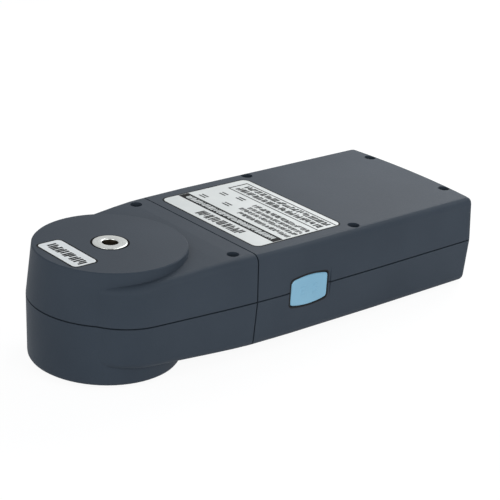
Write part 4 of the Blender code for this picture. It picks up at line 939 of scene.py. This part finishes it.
def streaks(material, sizes):
    """A cloudy pattern drawn out to these sizes along x, y and z, in metres."""
    place = node(material, "TexCoord").outputs["Object"]
    drawn_out = {"Vector": place, "Scale": tuple(1 / size for size in sizes)}
    place = node(material, "Mapping", drawn_out).outputs[0]
    return node(material, "TexNoise", {"Vector": place, "Scale": 1.0, "Detail": 3.0}).outputs["Fac"]


# The film shrinks most across the cell, so its fine creases run along it under a glossy face.
shrink = finish("blue shrink film", IOR=1.54, Coat_Weight=0.5, Coat_Roughness=0.12)
creases = streaks(shrink, (0.012, 0.003, 0.006))
shrink_tone = two_tones(shrink, creases, "#24588c", "#2c6398")
surface(shrink, shrink_tone, (creases, 0.26, 0.38), (creases, 0.25, 0.0003))
battery_low, battery_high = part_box("battery_pack")
battery_corner_r = 0.0022
battery_layers = []
for inset, z in (
    (0.0016, battery_low[2]),
    (0.0005, battery_low[2] + 0.0005),
    (0, battery_low[2] + 0.0016),
    (0, battery_high[2] - 0.0016),
    (0.0005, battery_high[2] - 0.0005),
    (0.0016, battery_high[2]),
):
    battery_layers.append((frame_outline(battery_low, battery_high, inset, battery_corner_r), z))
battery = mesh_object("battery_pack_wrapped", stacked(battery_layers), 50)
fit(battery, [shrink], "casing", "battery", "battery_pack")

# Closed cells give the tape a dull white face with fine round pits.
foam = finish("white closed-cell foam", Subsurface_Weight=0.1, Sheen_Weight=0.2)
foam_inputs = {"Vector": node(foam, "TexCoord").outputs["Object"], "Scale": 1 / 0.0006}
foam_cells = node(foam, "TexVoronoi", foam_inputs).outputs["Distance"]
foam_tone = two_tones(foam, foam_cells, "#d4d4ce", "#dfdfd9")
surface(foam, foam_tone, (foam_cells, 0.80, 0.92), (foam_cells, 0.5, 0.0002))
foam_low, foam_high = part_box("battery_foam")
foam_layers = []
for inset, r, z in (
    (0.0003, 0.0014, foam_low[2]),
    (0.0000, 0.0016, foam_low[2] + 0.0002),
    (0.0002, 0.0015, (foam_low[2] + foam_high[2]) / 2),
    (0.0000, 0.0016, foam_high[2] - 0.0002),
    (0.0003, 0.0014, foam_high[2]),
):
    foam_layers.append((frame_outline(foam_low, foam_high, inset, r), z))
foam_pad = mesh_object("battery_foam_pad", stacked(foam_layers), 60)
fit(foam_pad, [foam], "casing", "foam", "battery_foam")

nylon = moulded_plastic("moulded cream nylon", "#ded6c4", "#e6decd", 0.0008, 0.48, 0.08, IOR=1.53)
dress(nylon, "battery_plug")
red_pvc = moulded_plastic("extruded red PVC", "#a3302a", "#ad3730", 0.0010, 0.42, 0.05, IOR=1.53)
black_pvc = moulded_plastic("extruded black PVC", "#1b1b1d", "#222224", 0.0010, 0.42, 0.05, IOR=1.53)
plug_low, plug_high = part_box("battery_plug")
lead_end_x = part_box("battery_lead")[1][0]
wire_r = 0.00046
wire_half_gap = 0.0005
wire_pull = 0.0120
wire_steps = 20
wire_sides = 12
lead_bm = bmesh.new()
for material, wire_y in ((0, -wire_half_gap), (1, wire_half_gap)):
    start = Vector((lead_end_x, wire_y, battery_low[2] + 0.0040))
    end = Vector(((plug_low[0] + plug_high[0]) / 2, wire_y, plug_high[2] + 0.0003))
    leaving, arriving = Vector((-wire_pull, 0, 0)), Vector((0, 0, -wire_pull))
    rings = []
    for k in range(wire_steps + 1):
        t = k / wire_steps
        place = (2 * t**3 - 3 * t**2 + 1) * start + (t**3 - 2 * t**2 + t) * leaving
        place += (3 * t**2 - 2 * t**3) * end + (t**3 - t**2) * arriving
        run = (6 * t**2 - 6 * t) * (start - end)
        run += (3 * t**2 - 4 * t + 1) * leaving + (3 * t**2 - 2 * t) * arriving
        run.normalize()
        over = Vector((-run.z, 0, run.x))
        ring = []
        for j in range(wire_sides):
            a = 2 * math.pi * j / wire_sides
            side = math.cos(a) * over + math.sin(a) * Vector((0, 1, 0))
            ring.append(lead_bm.verts.new(place + wire_r * side))
        rings.append(ring)
    for this, following in zip(rings, rings[1:]):
        for j in range(wire_sides):
            face = lead_bm.faces.new((this[j - 1], this[j], following[j], following[j - 1]))
            face.material_index = material
    for end_ring in (rings[0], rings[-1]):
        lead_bm.faces.new(end_ring).material_index = material
lead = mesh_object("battery_lead_wires", lead_bm, 50)
fit(lead, [red_pvc, black_pvc], "casing", "cable", "battery_lead")

# Optics
# A diffusing dome of sintered white PTFE over four lamps on a round board, and a black tube
# with a glass lens that carries the light from the sample down to the sensor.

# Sintering leaves the PTFE chalky, and light sinks a little way into it.
ptfe = moulded_plastic(
    "sintered white PTFE", "#eeeeea", "#f4f4f1", 0.0010, 0.70, 0.15, IOR=1.38, Subsurface_Weight=0.15
)
dress(ptfe, "diffuser_dome")
lamp_dome = moulded_plastic("clear cast epoxy", "#e9e6c8", "#efecd2", 0.0008, 0.12, 0.03, IOR=1.54)
dress(lamp_dome, "led_1", "led_2", "led_3", "led_4")
dull_black = moulded_plastic(
    "bead-blasted black anodised aluminium", "#131315", "#191a1c", 0.0005, 0.68, 0.15
)
dress(dull_black, "sensor_tube")
glass = finish("polished optical glass", Transmission_Weight=1.0, IOR=1.52)
glass_veil = speckle(glass, 0.002, 1.0)
surface(glass, two_tones(glass, glass_veil, "#eef6f4", "#f6fbfa"), (glass_veil, 0.0, 0.03))
dress(glass, "receiver_lens")
dome_head_h = 0.0010
dome_screw = screw_mesh(
    "dome_screw", head_r=0.0015, head_h=dome_head_h, shank_r=0.0008, length=0.0048, pitch=0.0005
)
fit_screws([f"dome_screw_{k}" for k in (1, 2, 3)], dome_screw, dome_head_h, turn=0.2)
fit_screws(["sensor_screw_1", "sensor_screw_2"], board_screw, small_head_h, turn=1.2)

# Bracket
# A plate cut from brushed aluminium sheet, screwed to four posts in the head. It carries the
# dome and the lamp board.

# The brushing is drawn 0.4 mm wide, coarser than its real 0.05 mm, so that it shows.
aluminium = finish("brushed aluminium sheet", Metallic=1.0)
brushing = streaks(aluminium, (0.020, 0.0004, 0.0004))
sheet_tone = two_tones(aluminium, brushing, "#b9bbbe", "#c6c8ca")
surface(aluminium, sheet_tone, (brushing, 0.30, 0.46), (brushing, 0.15, 0.00004))
dress(aluminium, "optics_bracket")
bracket_screw = screw_mesh(
    "bracket_screw", head_r=0.0019, head_h=small_head_h, shank_r=0.0010, length=0.0060, pitch=0.0006
)
fit_screws([f"bracket_screw_{k}" for k in (1, 2, 3, 4)], bracket_screw, small_head_h, turn=0.5)

# Flat cables
# Two amber polyimide film cables with copper tracks, from the sensor and the lamps to the
# main board. The tracks show as darker lines along them.

# Tracks are drawn 1.0 mm apart, coarser than their real 0.5 mm, so that they show.
track_step = 0.001
track_turn = 2 * math.pi / track_step
amber = finish("polyimide film over copper", IOR=1.7, Coat_Weight=0.3, Coat_Roughness=0.15)
amber_place = node(amber, "SeparateXYZ", {0: node(amber, "TexCoord").outputs["Object"]})
amber_count = node(amber, "Math", {0: amber_place.outputs["Y"], 1: track_turn}, operation="MULTIPLY")
amber_wave = node(amber, "Math", {0: amber_count.outputs[0]}, operation="SINE").outputs[0]
amber_range = {"Value": amber_wave, "From Min": -1.0, "From Max": 1.0}
amber_share = node(amber, "MapRange", amber_range).outputs["Result"]
amber_tone = two_tones(amber, amber_share, "#8c4f1c", "#b8782f")
surface(amber, amber_tone, (amber_share, 0.25, 0.36), (amber_share, 0.3, 0.00005))
dress(amber, "sensor_cable", "led_cable")
